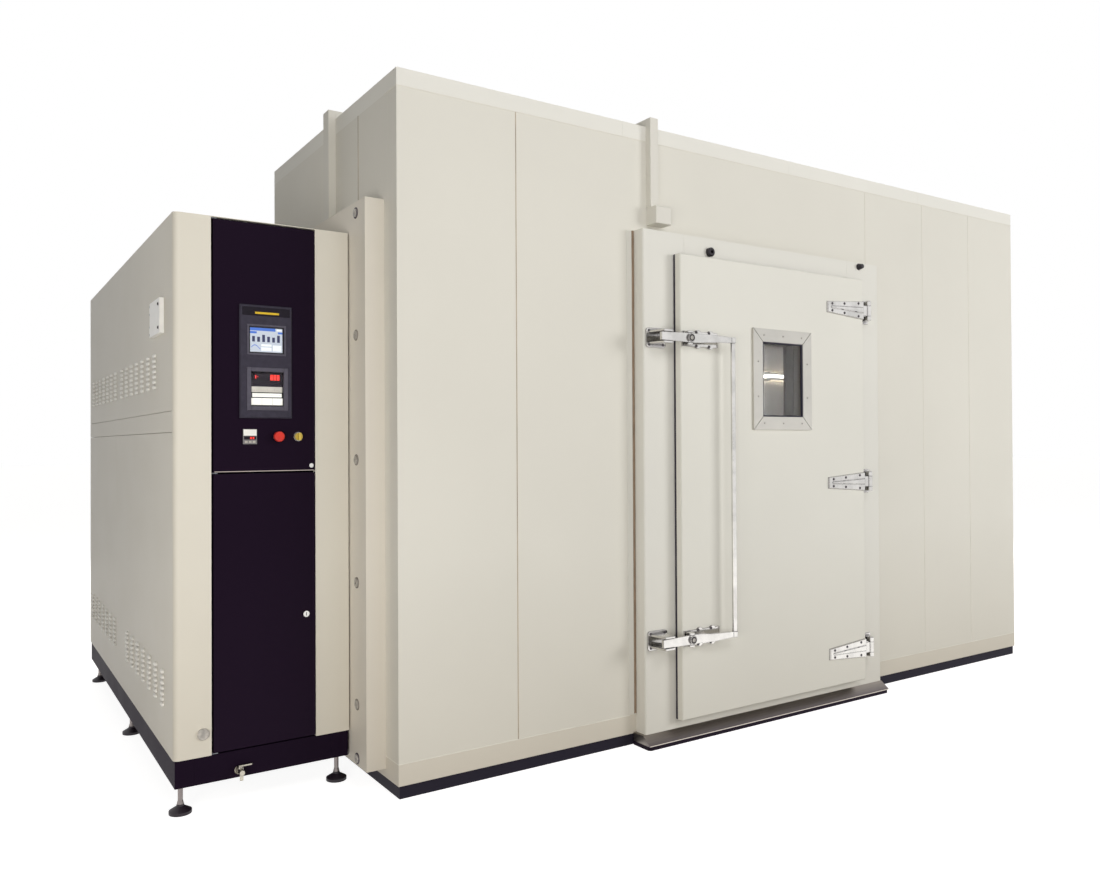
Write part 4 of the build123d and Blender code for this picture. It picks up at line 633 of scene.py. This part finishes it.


# Chrome-plated castings: hinges, latches and strikes. Bright, with the slight waves of a
# polished casting and soft corners, and painted shade in the hollows and along the edges.
def cast_chrome(name, color, rough=0.12):
    """Plated casting with soft waves, with painted shade along its edges and in its hollows."""
    made, tree, shader = new_material(name)
    shader.inputs["Metallic"].default_value = 1.0
    waves = noise(tree, 14, 3, own_spot(tree))
    bright = ramped(tree, waves, shade(color, 0.84), tint(*color), 0.38, 0.62)
    # Painted shade: ambient occlusion darkens the hollows, and the bevel normal against the true
    # normal darkens the edges, towards tint(58, 52, 58).
    hollows = tree.nodes.new("ShaderNodeAmbientOcclusion")
    hollows.inputs["Distance"].default_value = 0.030
    open_share = ranged(tree, hollows.outputs["AO"], 0.0, 1.0, 0.30, 0.92)
    rounded = tree.nodes.new("ShaderNodeBevel")
    rounded.samples = 4
    rounded.inputs["Radius"].default_value = 0.0032
    surface = tree.nodes.new("ShaderNodeNewGeometry")
    turn = tree.nodes.new("ShaderNodeVectorMath")
    turn.operation = "DOT_PRODUCT"
    tree.links.new(rounded.outputs["Normal"], turn.inputs[0])
    tree.links.new(surface.outputs["Normal"], turn.inputs[1])
    flat_share = ranged(tree, turn.outputs["Value"], 0.25, 1.0, 0.90, 0.995)
    unshaded_share = maths(tree, "MULTIPLY", open_share, flat_share)
    plated = blended(tree, unshaded_share, tint(58, 52, 58), bright)
    tree.links.new(plated, shader.inputs["Base Color"])
    tree.links.new(ranged(tree, waves, rough + 0.08, rough), shader.inputs["Roughness"])
    relief(tree, shader, waves, 0.08, 0.001)
    return made


def softened(node, body, material, radius=0.0012):
    """A piece in place of its square-edged solid: the same shape with rounded corners."""
    work = bmesh.new()
    work.from_mesh(nodes[node].data)
    bmesh.ops.remove_doubles(work, verts=work.verts, dist=1e-5)
    bmesh.ops.dissolve_limit(
        work, angle_limit=radians(1), verts=work.verts, edges=work.edges, delimit={"NORMAL"}
    )
    made = finish_piece(node + "_cast", work, material, body)
    rounding = made.modifiers.new("rounding", "BEVEL")
    rounding.width = radius
    rounding.segments = 2
    rounding.limit_method = "ANGLE"
    rounding.angle_limit = radians(32)
    rounding.use_clamp_overlap = True
    rounding.harden_normals = False
    for face in made.data.polygons:
        face.use_smooth = True
    flat = made.modifiers.new("flat_faces", "WEIGHTED_NORMAL")
    flat.keep_sharp = False
    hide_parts(node)


chrome = cast_chrome("chrome", (222, 220, 217))
for node, body in (
    ("hinge_straps", "door"),
    ("hinge_brackets", "chamber_and_machine"),
    ("latch_bases", "door"),
    ("latch_strikes", "chamber_and_machine"),
    ("latch_handle", "latch"),
):
    softened(node, body, chrome)


# The screws through the castings have dark heads, painted shade for the recesses they sit
# in: six in each hinge strap, four in each latch plate and each strike.
# Painted shade: the screw heads are dark for the recesses round them.
bolt_painted_shade = mottled("bolt_painted_shade", (70, 64, 68), 0.35, 0.3, 120)
plate_proud, strike_proud = 0.008, 0.006
plate_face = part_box("door_leaf")[0][1] - plate_proud
strap_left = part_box("hinge_straps")[0][0]
strap_screws = [
    (strap_left + across, plate_face, level + side * rise)
    for level in (0.240, 1.022, 1.828)
    for across, rise in ((0.030, 0.016), (0.115, 0.022), (0.215, 0.030))
    for side in (-1, 1)
]
latch_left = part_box("latch_bases")[0][0]
latch_levels = (0.420, 1.630)
latch_screws = [
    (latch_left + across, plate_face, level + rise)
    for level in latch_levels
    for across in (0.072, 0.142)
    for rise in (0.028, -0.028)
]
strike_low, strike_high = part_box("latch_strikes")
strike_screws = [
    (x, frame_low[1] - strike_proud, level + rise)
    for level in latch_levels
    for x in (strike_low[0] + 0.014, strike_high[0] - 0.014)
    for rise in (-0.028, 0.028)
]
for name, places, radius, height, body in (
    ("hinge_screws", strap_screws, 0.0062, 0.0026, "door"),
    ("latch_screws", latch_screws, 0.0066, 0.0030, "door"),
    ("strike_screws", strike_screws, 0.0060, 0.0026, "chamber_and_machine"),
):
    screw_set(name, places, radius, height, body, bolt_painted_shade)


# The latch pivots: each arm of the latch turns on a steel pin through its base. The pin's
# bright head shows on the front of the arm, in a dark ring of painted shade.
arm_points = [corner.co for corner in nodes["latch_handle"].data.vertices]
pivot_x = -0.679
pivot_reach = 0.018
ring_radius, ring_top, ring_height = 0.0145, 0.0138, 0.0012
facing_front = Matrix.Rotation(pi / 2, 4, "X")
# The dark ring round each pin head is painted shade.
pivot_rings = bmesh.new()
pivot_heads = []
for level in latch_levels:
    arm_face = min(
        point.y
        for point in arm_points
        if abs(point.x - pivot_x) < pivot_reach and abs(point.z - level) < pivot_reach
    )
    bmesh.ops.create_cone(
        pivot_rings,
        segments=28,
        radius1=ring_radius,
        radius2=ring_top,
        depth=ring_height,
        cap_ends=True,
        matrix=Matrix.Translation((pivot_x, arm_face - 0.0004, level)) @ facing_front,
    )
    pivot_heads.append((pivot_x, arm_face - 0.0009, level))
finish_piece("pivot_rings", pivot_rings, black_and_painted_shade, "latch")
screw_set("pivot_heads", pivot_heads, 0.0085, 0.0024, "latch")


# Fittings above the door, a rubber grommet and bung, and the covered wiring: white sheet
# trunking that comes over the roof and down to the door frame.
dress(mottled("fitting_rubber", (24, 18, 26), 0.4), "header_fittings")
trunk_white = coated("trunk_white", (222, 219, 210), dust=(190, 180, 162), gloss=0.4)
dress(trunk_white, "wiring_duct")


# The insulated duct frame between machine and chamber, with plastic plugs over the cam
# locks that pull it tight. A thin rim stands round each lock as painted shade round its
# plug, darker at the top and the foot.
duct_paint = coated("duct_paint", (228, 222, 210), dust=(184, 172, 154), gloss=0.4)
dress(duct_paint, "duct_frame")
plug_grey = mottled("plug_grey", (176, 171, 164), 0.45, 0.25, 60)
dress(plug_grey, "blanking_caps")
lock_y = duct_low[1] + 0.085
rim_radius, rim_wire = 0.0178, 0.0022
rim_corners, rim_proud = 8, 0.0008
# The rims paint the shade round each plug: dark rings at the top and foot, grey ones between.
for name, finish, heights in (
    ("deep_shade_rims", mottled("rim_deep_shade", (58, 50, 62), 0.5), (0.100, 2.030)),
    ("light_shade_rims", mottled("rim_light_shade", (142, 135, 126), 0.5), (0.290, 0.720, 1.154, 1.596)),
):
    rims = bmesh.new()
    for height in heights:
        ring = bmesh.ops.create_circle(
            rims, cap_ends=True, segments=rim_corners, radius=rim_wire
        )["verts"]
        start = (duct_low[0] - rim_proud, lock_y + rim_radius, height)
        bmesh.ops.translate(rims, verts=ring, vec=start)
        bmesh.ops.spin(
            rims,
            geom=ring + list(dict.fromkeys(side for corner in ring for side in corner.link_edges)),
            cent=(duct_low[0], lock_y, height),
            axis=(1, 0, 0),
            angle=2 * pi,
            steps=28,
            use_merge=True,
        )
    for face in [face for face in rims.faces if len(face.verts) == rim_corners]:
        rims.faces.remove(face)
    bmesh.ops.recalc_face_normals(rims, faces=rims.faces)
    finish_piece(name, rims, finish, "chamber_and_machine")


# Inside the chamber: the grilles over the air openings, and a sealed lamp on the back
# wall, lit: a thin bright tube behind its cover, which the window shows.
dress(frame_steel, "air_grilles")
lamp_glow, lamp_tree, lamp_shader = new_material("lamp_glow")
lamp_spot = own_spot(lamp_tree)
lamp_streak = noise(lamp_tree, 14, 2, lamp_spot)
lamp_tone = ramped(lamp_tree, lamp_streak, (1.0, 0.93, 0.80, 1), (1.0, 0.98, 0.92, 1))
for title in ("Base Color", "Emission Color"):
    lamp_tree.links.new(lamp_tone, lamp_shader.inputs[title])
lamp_low, lamp_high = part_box("interior_lamp")
lamp_middle = (lamp_low[2] + lamp_high[2]) / 2
lamp_height = coordinate(lamp_tree, lamp_spot, "Z")
lamp_span = maths(lamp_tree, "ABSOLUTE", maths(lamp_tree, "SUBTRACT", lamp_height, lamp_middle))
tube_half = 0.009
tube_power, cover_power = 105.0, 0.12
lamp_power = ranged(lamp_tree, lamp_span, tube_power, cover_power, 0.3 * tube_half, tube_half)
lamp_tree.links.new(lamp_power, lamp_shader.inputs["Emission Strength"])
dress(lamp_glow, "interior_lamp")


# The machine stands on a black base of channel rails, on levelling feet with steel stems
# and black rubber pads.
machine_black = coated(
    "machine_black", (24, 14, 28), dust=(40, 32, 44), gloss=0.5, dust_height=0.12, shine=0.05
)
dress(machine_black, "machine_base")
foot_finish = mottled("foot_finish", (30, 22, 30), 0.5)
foot_tree = foot_finish.node_tree
foot_shader = foot_tree.nodes["Principled BSDF"]
foot_base = foot_shader.inputs["Base Color"]
pad_top = 0.030
foot_height = coordinate(foot_tree, own_spot(foot_tree), "Z")
foot_stem = ranged(foot_tree, foot_height, 0.0, 1.0, pad_top, pad_top + 0.001)
foot_tree.links.new(
    blended(foot_tree, foot_stem, foot_base.links[0].from_socket, tint(150, 142, 140)), foot_base
)
foot_tree.links.new(foot_stem, foot_shader.inputs["Metallic"])
dress(foot_finish, "levelling_feet")


# The machine's shell: folded sheet steel on a frame, powder-coated in an ivory that is a
# little warmer than the chamber. Two pillars close the front beside the black panels.
ivory = coated("ivory", (222, 217, 204), dust=(184, 172, 152), gloss=0.34, peel=0.1)
dress(ivory, "front_pillars", "left_side_panels", "right_side_panel", "rear_panel", "roof_panel")
machine_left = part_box("left_side_panels")[0][0]
pillar_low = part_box("front_pillars")[0]


# Louvres in the machine's left side, in four fields: each slot has a hood over it, pressed
# out of the sheet and open below, painted paler than the panel as a painted highlight where
# it catches light.
hood_long, hood_high, hood_proud = 0.0215, 0.0082, 0.0088
hood_lift, hood_foot = 0.0015, 0.0044
hood_seat, hood_sheet = 0.0003, 0.0008
# The hoods' paint is a paler copy of the panel's ivory: a painted highlight for the light they catch.
hood_highlight_white = coated("hood_highlight_white", (250, 248, 242), dust=(226, 218, 204), gloss=0.3, peel=0.05)
slot_columns, slot_rows = 7, 7
slot_column_pitch, slot_row_pitch = 0.126, 0.0185
slot_fields = ((0.323, 1.467), (1.262, 1.467), (0.181, 0.385), (1.296, 0.385))
hoods = bmesh.new()
for start, middle in slot_fields:
    for column in range(slot_columns):
        for row in range(slot_rows):
            y = pillar_low[1] + start + column * slot_column_pitch
            z = middle + (row - (slot_rows - 1) / 2) * slot_row_pitch
            one = bmesh.new()
            bmesh.ops.create_uvsphere(one, u_segments=10, v_segments=8, radius=1)
            bmesh.ops.scale(one, vec=(hood_proud, hood_long, hood_high), verts=one.verts)
            bmesh.ops.translate(one, vec=(machine_left, y, z + hood_lift), verts=one.verts)
            for plane_co, plane_no in (
                ((machine_left + hood_seat, 0, 0), (1, 0, 0)),
                ((0, 0, z - hood_foot), (0, 0, -1)),
            ):
                bmesh.ops.bisect_plane(
                    one,
                    geom=one.verts[:] + one.edges[:] + one.faces[:],
                    plane_co=plane_co,
                    plane_no=plane_no,
                    clear_outer=True,
                )
            shape = bpy.data.meshes.new("hood")
            one.to_mesh(shape)
            one.free()
            hoods.from_mesh(shape)
            bpy.data.meshes.remove(shape)
bmesh.ops.solidify(hoods, geom=hoods.faces[:], thickness=hood_sheet)
louvre_hoods = finish_piece("louvre_hoods", hoods, hood_highlight_white, "chamber_and_machine")
for face in louvre_hoods.data.polygons:
    face.use_smooth = True


# The flap over the connectors on the machine's side: a white moulded cover with two small
# black quarter-turn catches.
dress(mottled("flap_white", (252, 251, 247), 0.4, 0.02), "connector_flap")
flap_low, flap_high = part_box("connector_flap")
catch_inset, catch_drop = 0.022, 0.020
catches = bmesh.new()
for z in (flap_low[2] + catch_drop, flap_high[2] - catch_drop):
    add_screw(catches, (flap_low[0], flap_low[1] + catch_inset, z), (-1, 0, 0), 0.006, 0.003)
finish_piece("flap_catches", catches, black_and_painted_shade, "side_flap")


# The black front panels: steel trays with a deep gloss coat, nearly black with a hint of
# plum, and soft corners. A strip of bright metal along the upper one's lower edge is a
# painted highlight.
black_gloss = coated(
    "black_gloss", (26, 15, 30), dust=(36, 24, 40), gloss=0.26, peel=0.01, dust_height=0.9, shine=0.04
)
softened("control_panel", "controls", black_gloss, 0.0016)
softened("service_door", "service_panel", black_gloss, 0.0016)
panel_low, panel_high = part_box("control_panel")
# Painted highlight: a thin bright strip along the upper panel's lower edge.
panel_edge_highlight = brushed("panel_edge_highlight", (196, 184, 176), (8, 60, 60), 0.35, 0.1)
panel_highlight_strip = bmesh.new()
add_slab(
    panel_highlight_strip,
    (panel_low[0] + 0.003, panel_low[1] - 0.0002, panel_low[2] + 0.0004),
    (panel_high[0] - 0.003, panel_low[1] + 0.0006, panel_low[2] + 0.0028),
    0.0002,
)
finish_piece("panel_highlight_strip", panel_highlight_strip, panel_edge_highlight, "controls")


# Bezel round the display and the recorder: grey-black moulded plastic with a dark header
# that carries an amber stripe, and a lip round the display.
bezel_plastic = mottled("bezel_plastic", (54, 51, 62), 0.5, 0.12, 60, 0.2)
bezel_dark = mottled("bezel_dark", (28, 24, 32), 0.45, 0.15, 60, 0.15)
bezel_lip = mottled("bezel_lip", (82, 79, 90), 0.42, 0.1, 60, 0.3)
dress(bezel_plastic, "control_bezel")
bezel_low, bezel_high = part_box("control_bezel")
bezel_face = bezel_low[1]
header = bmesh.new()
add_slab(
    header,
    (bezel_low[0] + 0.008, bezel_face - 0.0016, bezel_high[2] - 0.037),
    (bezel_high[0] - 0.008, bezel_face + 0.0004, bezel_high[2] - 0.008),
    0.0012,
)
finish_piece("bezel_header", header, bezel_dark, "controls")
stripe_amber = mottled("stripe_amber", (214, 178, 44), 0.4, 0.1)
stripe = bmesh.new()
add_slab(
    stripe,
    (bezel_low[0] + 0.050, bezel_face - 0.0022, bezel_high[2] - 0.031),
    (bezel_high[0] - 0.046, bezel_face - 0.0014, bezel_high[2] - 0.024),
    0.0003,
)
finish_piece("bezel_stripe", stripe, stripe_amber, "controls")
screen_low, screen_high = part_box("touch_screen")
screen_x = (screen_low[0] + screen_high[0]) / 2
screen_z = (screen_low[2] + screen_high[2]) / 2
screen_wide, screen_tall = 0.117, 0.090
lip_reach = 0.007
lips = bmesh.new()
add_ring(
    lips,
    (screen_x - screen_wide / 2 - lip_reach, screen_z - screen_tall / 2 - lip_reach),
    (screen_x + screen_wide / 2 + lip_reach, screen_z + screen_tall / 2 + lip_reach),
    0.006,
    bezel_face - 0.0022,
    bezel_face + 0.0004,
    0.0009,
)
finish_piece("screen_lip", lips, bezel_lip, "controls")


# The display: a lit panel behind glass with a made-up page of bars, boxes and a curve,
# without a single letter.
def lit(name, color, strength):
    """A lit area of a display, with the faint grid of its dots."""
    made, tree, shader = new_material(name)
    dots = noise(tree, 420, 1, own_spot(tree))
    glow = ramped(tree, dots, shade(color, 0.86), shade(color, 1.1))
    for title in ("Base Color", "Emission Color"):
        tree.links.new(glow, shader.inputs[title])
    shader.inputs["Emission Strength"].default_value = strength
    shader.inputs["Roughness"].default_value = 0.3
    return made


def tile_piece(name, tiles, area, layer, thickness, material, edge=0.0):
    """Flat tiles on a face, each (left, right, foot, head) as shares of the area."""
    low, high, face = area
    wide, tall = high[0] - low[0], high[1] - low[1]
    work = bmesh.new()
    for left, right, foot, head in tiles:
        add_slab(
            work,
            (low[0] + left * wide, face - layer, low[1] + foot * tall),
            (low[0] + right * wide, face - layer + thickness, low[1] + head * tall),
            edge,
        )
    finish_piece(name, work, material, "controls")


dress(mottled("screen_black", (26, 24, 30), 0.2), "touch_screen")
page_pale = lit("page_pale", (186, 194, 206), 0.3)
page_blue = lit("page_blue", (70, 110, 196), 0.3)
page_navy = lit("page_navy", (46, 50, 86), 0.2)
page_white = lit("page_white", (230, 235, 238), 0.3)
page_margin = 0.004
page_reach_x = screen_wide / 2 - page_margin
page_reach_z = screen_tall / 2 - page_margin
page = (
    (screen_x - page_reach_x, screen_z - page_reach_z),
    (screen_x + page_reach_x, screen_z + page_reach_z),
    screen_low[1],
)
page_heading = [(0, 0.78, 0.88, 1), (0, 0.2, 0.76, 0.85), (0.86, 1, 0.78, 0.86)]
page_meters = [
    (0.06 + 0.155 * n, 0.145 + 0.155 * n, 0.42, 0.56 + 0.16 * abs(sin(2.1 * n + 0.6)))
    for n in range(6)
]
page_boxes = [
    (0.82, 0.98, 0.9, 0.98),
    (0.34, 0.66, 0.05, 0.2),
    (0.7, 0.97, 0.05, 0.3),
    (0.34, 0.66, 0.24, 0.33),
]
curve_steps = 14
page_curve = []
for step in range(curve_steps):
    start = 0.03 + 0.28 * step / curve_steps
    level = 0.18 + 0.09 * sin(4.2 * step / curve_steps)
    page_curve.append((start, start + 0.022, level, level + 0.03))
for name, tiles, layer, color in (
    ("page_ground", [(0, 1, 0, 1)], 0.0003, page_pale),
    ("page_heading", page_heading, 0.0005, page_blue),
    ("page_meters", page_meters, 0.0005, page_navy),
    ("page_boxes", page_boxes, 0.0005, page_white),
    ("page_curve", page_curve, 0.0005, page_blue),
):
    tile_piece(name, tiles, page, layer, 0.0003, color)


# The recorder behind its small glazed door: two red readouts on a dark strip, a pale pen
# scale, and white chart paper with fine printed lines.
recorder_low, recorder_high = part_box("recorder_body")
cover_low, cover_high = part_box("recorder_door")
dress(bezel_dark, "recorder_body")
cover_border = 0.014
view_low = (recorder_low[0] + cover_border, recorder_low[2] + cover_border)
view_high = (recorder_high[0] - cover_border, recorder_high[2] - cover_border)
view = (view_low, view_high, recorder_low[1])
paper_white = mottled("paper_white", (240, 239, 232), 0.8, 0.03, 20)
scale_grey = mottled("scale_grey", (186, 182, 172), 0.6, 0.06, 30)
ink_grey = mottled("ink_grey", (120, 118, 122), 0.7, 0.1, 40)
readout_red = lit("readout_red", (214, 44, 34), 0.9)
chart_paper = [(0.02, 0.98, 0.04, 0.24), (0.05, 0.95, 0.27, 0.38)]
scale_marks = [
    (0.06 + 0.055 * n, 0.068 + 0.055 * n, 0.43, 0.48 + 0.03 * (n % 4 == 0)) for n in range(17)
]
paper_lines = [(0.34, 0.346, 0.04, 0.24), (0.66, 0.666, 0.04, 0.24), (0.05, 0.95, 0.32, 0.325)]
readouts = [(0.14, 0.17, 0.80, 0.90), (0.21, 0.23, 0.84, 0.87)]
readouts += [(0.60 + 0.10 * n, 0.68 + 0.10 * n, 0.76, 0.92) for n in range(3)]
for name, tiles, layer, finish, slot in (
    ("chart_paper", chart_paper, 0.0002, paper_white, "plastic_grey"),
    ("pen_scale", [(0.03, 0.97, 0.41, 0.57)], 0.0002, scale_grey, "plastic_grey"),
    ("chart_print", scale_marks + paper_lines, 0.0004, ink_grey, "plastic_grey"),
    ("readouts", readouts, 0.0002, readout_red, "plastic_red"),
):
    tile_piece(name, tiles, view, layer, 0.0002, finish)


# The recorder's door: a plain frame of grey-black plastic that swings on a pin at its
# left, with a clear pane set into it.
cover = bmesh.new()
add_ring(
    cover,
    (cover_low[0], recorder_low[2]),
    (cover_high[0], recorder_high[2]),
    cover_border,
    cover_low[1],
    cover_high[1],
    0.0016,
)
pin_radius = 0.0015
pin_middle = (
    cover_low[0] + 0.0045,
    (cover_low[1] + cover_high[1]) / 2,
    (cover_low[2] + cover_high[2]) / 2,
)
bmesh.ops.create_cone(
    cover,
    segments=16,
    radius1=pin_radius,
    radius2=pin_radius,
    depth=cover_high[2] - cover_low[2],
    cap_ends=True,
    matrix=Matrix.Translation(pin_middle),
)
cover_frame = finish_piece(
    "recorder_cover_frame", cover, bezel_lip, "recorder_cover"
)
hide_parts("recorder_door")
pane_lap = 0.0008
cover_glass = bmesh.new()
add_slab(
    cover_glass,
    (view_low[0] - pane_lap, cover_low[1] + 0.003, view_low[1] - pane_lap),
    (view_high[0] + pane_lap, cover_low[1] + 0.006, view_high[1] + pane_lap),
    0.0004,
)
finish_piece("recorder_cover_glass", cover_glass, window_glass, "recorder_cover")


# The overheat protector: a grey module with a white face, a dark readout strip with red
# figures shown as plain bars, and three keys.
guard_low, guard_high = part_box("overheat_protector")
dress(mottled("guard_grey", (120, 116, 118), 0.5, 0.1, 60), "overheat_protector")
guard = ((guard_low[0], guard_low[2]), (guard_high[0], guard_high[2]), guard_low[1])
guard_readout = [(0.50, 0.62, 0.34, 0.48), (0.68, 0.80, 0.34, 0.48)]
guard_keys = [(0.12 + 0.28 * n, 0.32 + 0.28 * n, 0.08, 0.22) for n in range(3)]
for name, tiles, layer, finish, slot in (
    ("guard_face", [(0.03, 0.97, 0.56, 0.97)], 0.0006, paper_white, "plastic_grey"),
    ("guard_strip", [(0.06, 0.94, 0.30, 0.52)], 0.0006, bezel_dark, "plastic_black"),
    ("guard_readout", guard_readout, 0.0009, readout_red, "plastic_red"),
    ("guard_keys", guard_keys, 0.0012, scale_grey, "plastic_grey"),
):
    tile_piece(name, tiles, guard, layer, 0.0006, finish, 0.0002)


# Emergency stop and selector: a red mushroom head, a brass-yellow knob with its grip,
# and chromed collars.
dress(mottled("stop_red", (206, 48, 36), 0.32, 0.06, 30), "e_stop_button")
dress(mottled("knob_yellow", (204, 178, 78), 0.35, 0.12, 30), "selector_knob")
softened("switch_collars", "controls", chrome, 0.0008)


# Locks: a chromed quarter-turn lock with a key slot in the lower black panel, and a small
# knob at the foot of the upper one.
dress(chrome, "key_lock", "panel_latch")
lock_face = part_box("key_lock")[0][1]
lock_x, lock_z = pillar_low[0] + 0.435, 0.618
slot_wide, slot_tall = 0.0024, 0.011
# The key slot is a thin dark strip on the lock's face: painted shade for the opening.
key_slot = bmesh.new()
add_slab(
    key_slot,
    (lock_x - slot_wide / 2, lock_face - 0.0003, lock_z - slot_tall / 2),
    (lock_x + slot_wide / 2, lock_face + 0.0006, lock_z + slot_tall / 2),
)
finish_piece("key_slot", key_slot, black_and_painted_shade, "service_lock")


# The drain cock low on the machine's front: a nickel-plated brass body with a small lever
# that turns a quarter to open it.
dress(cast_chrome("nickel", (206, 200, 186), 0.2), "drain_cock", "drain_cock_handle")


# Inside the machine: galvanised sheet, aluminium fins, enamelled motors and compressors,
# a milky water tank and grey switchgear. They show when a panel is open.
zinc = brushed("zinc", (150, 153, 158), (20, 20, 20), 0.45)
dress(zinc, "machine_frame", "fan_shrouds", "air_section", "panel_hinges")
fin_metal = brushed("fin_metal", (205, 206, 208), (300, 300, 300), 0.3)
dress(fin_metal, "finned_coils", "circulation_fan", "condenser_fan")
dress(brushed("heater_steel", (150, 142, 132), (90, 90, 90), 0.35), "heater")
dress(coated("motor_enamel", (70, 76, 84), dust=(80, 76, 70), gloss=0.4), "fan_motors")
dress(coated("compressor_enamel", (30, 30, 32), dust=(60, 56, 52), gloss=0.3), "compressors")
dress(mottled("tank_milky", (214, 214, 208), 0.4, 0.05), "water_tank")
dress(mottled("switch_grey", (168, 168, 164), 0.5, 0.08), "electrical_box")
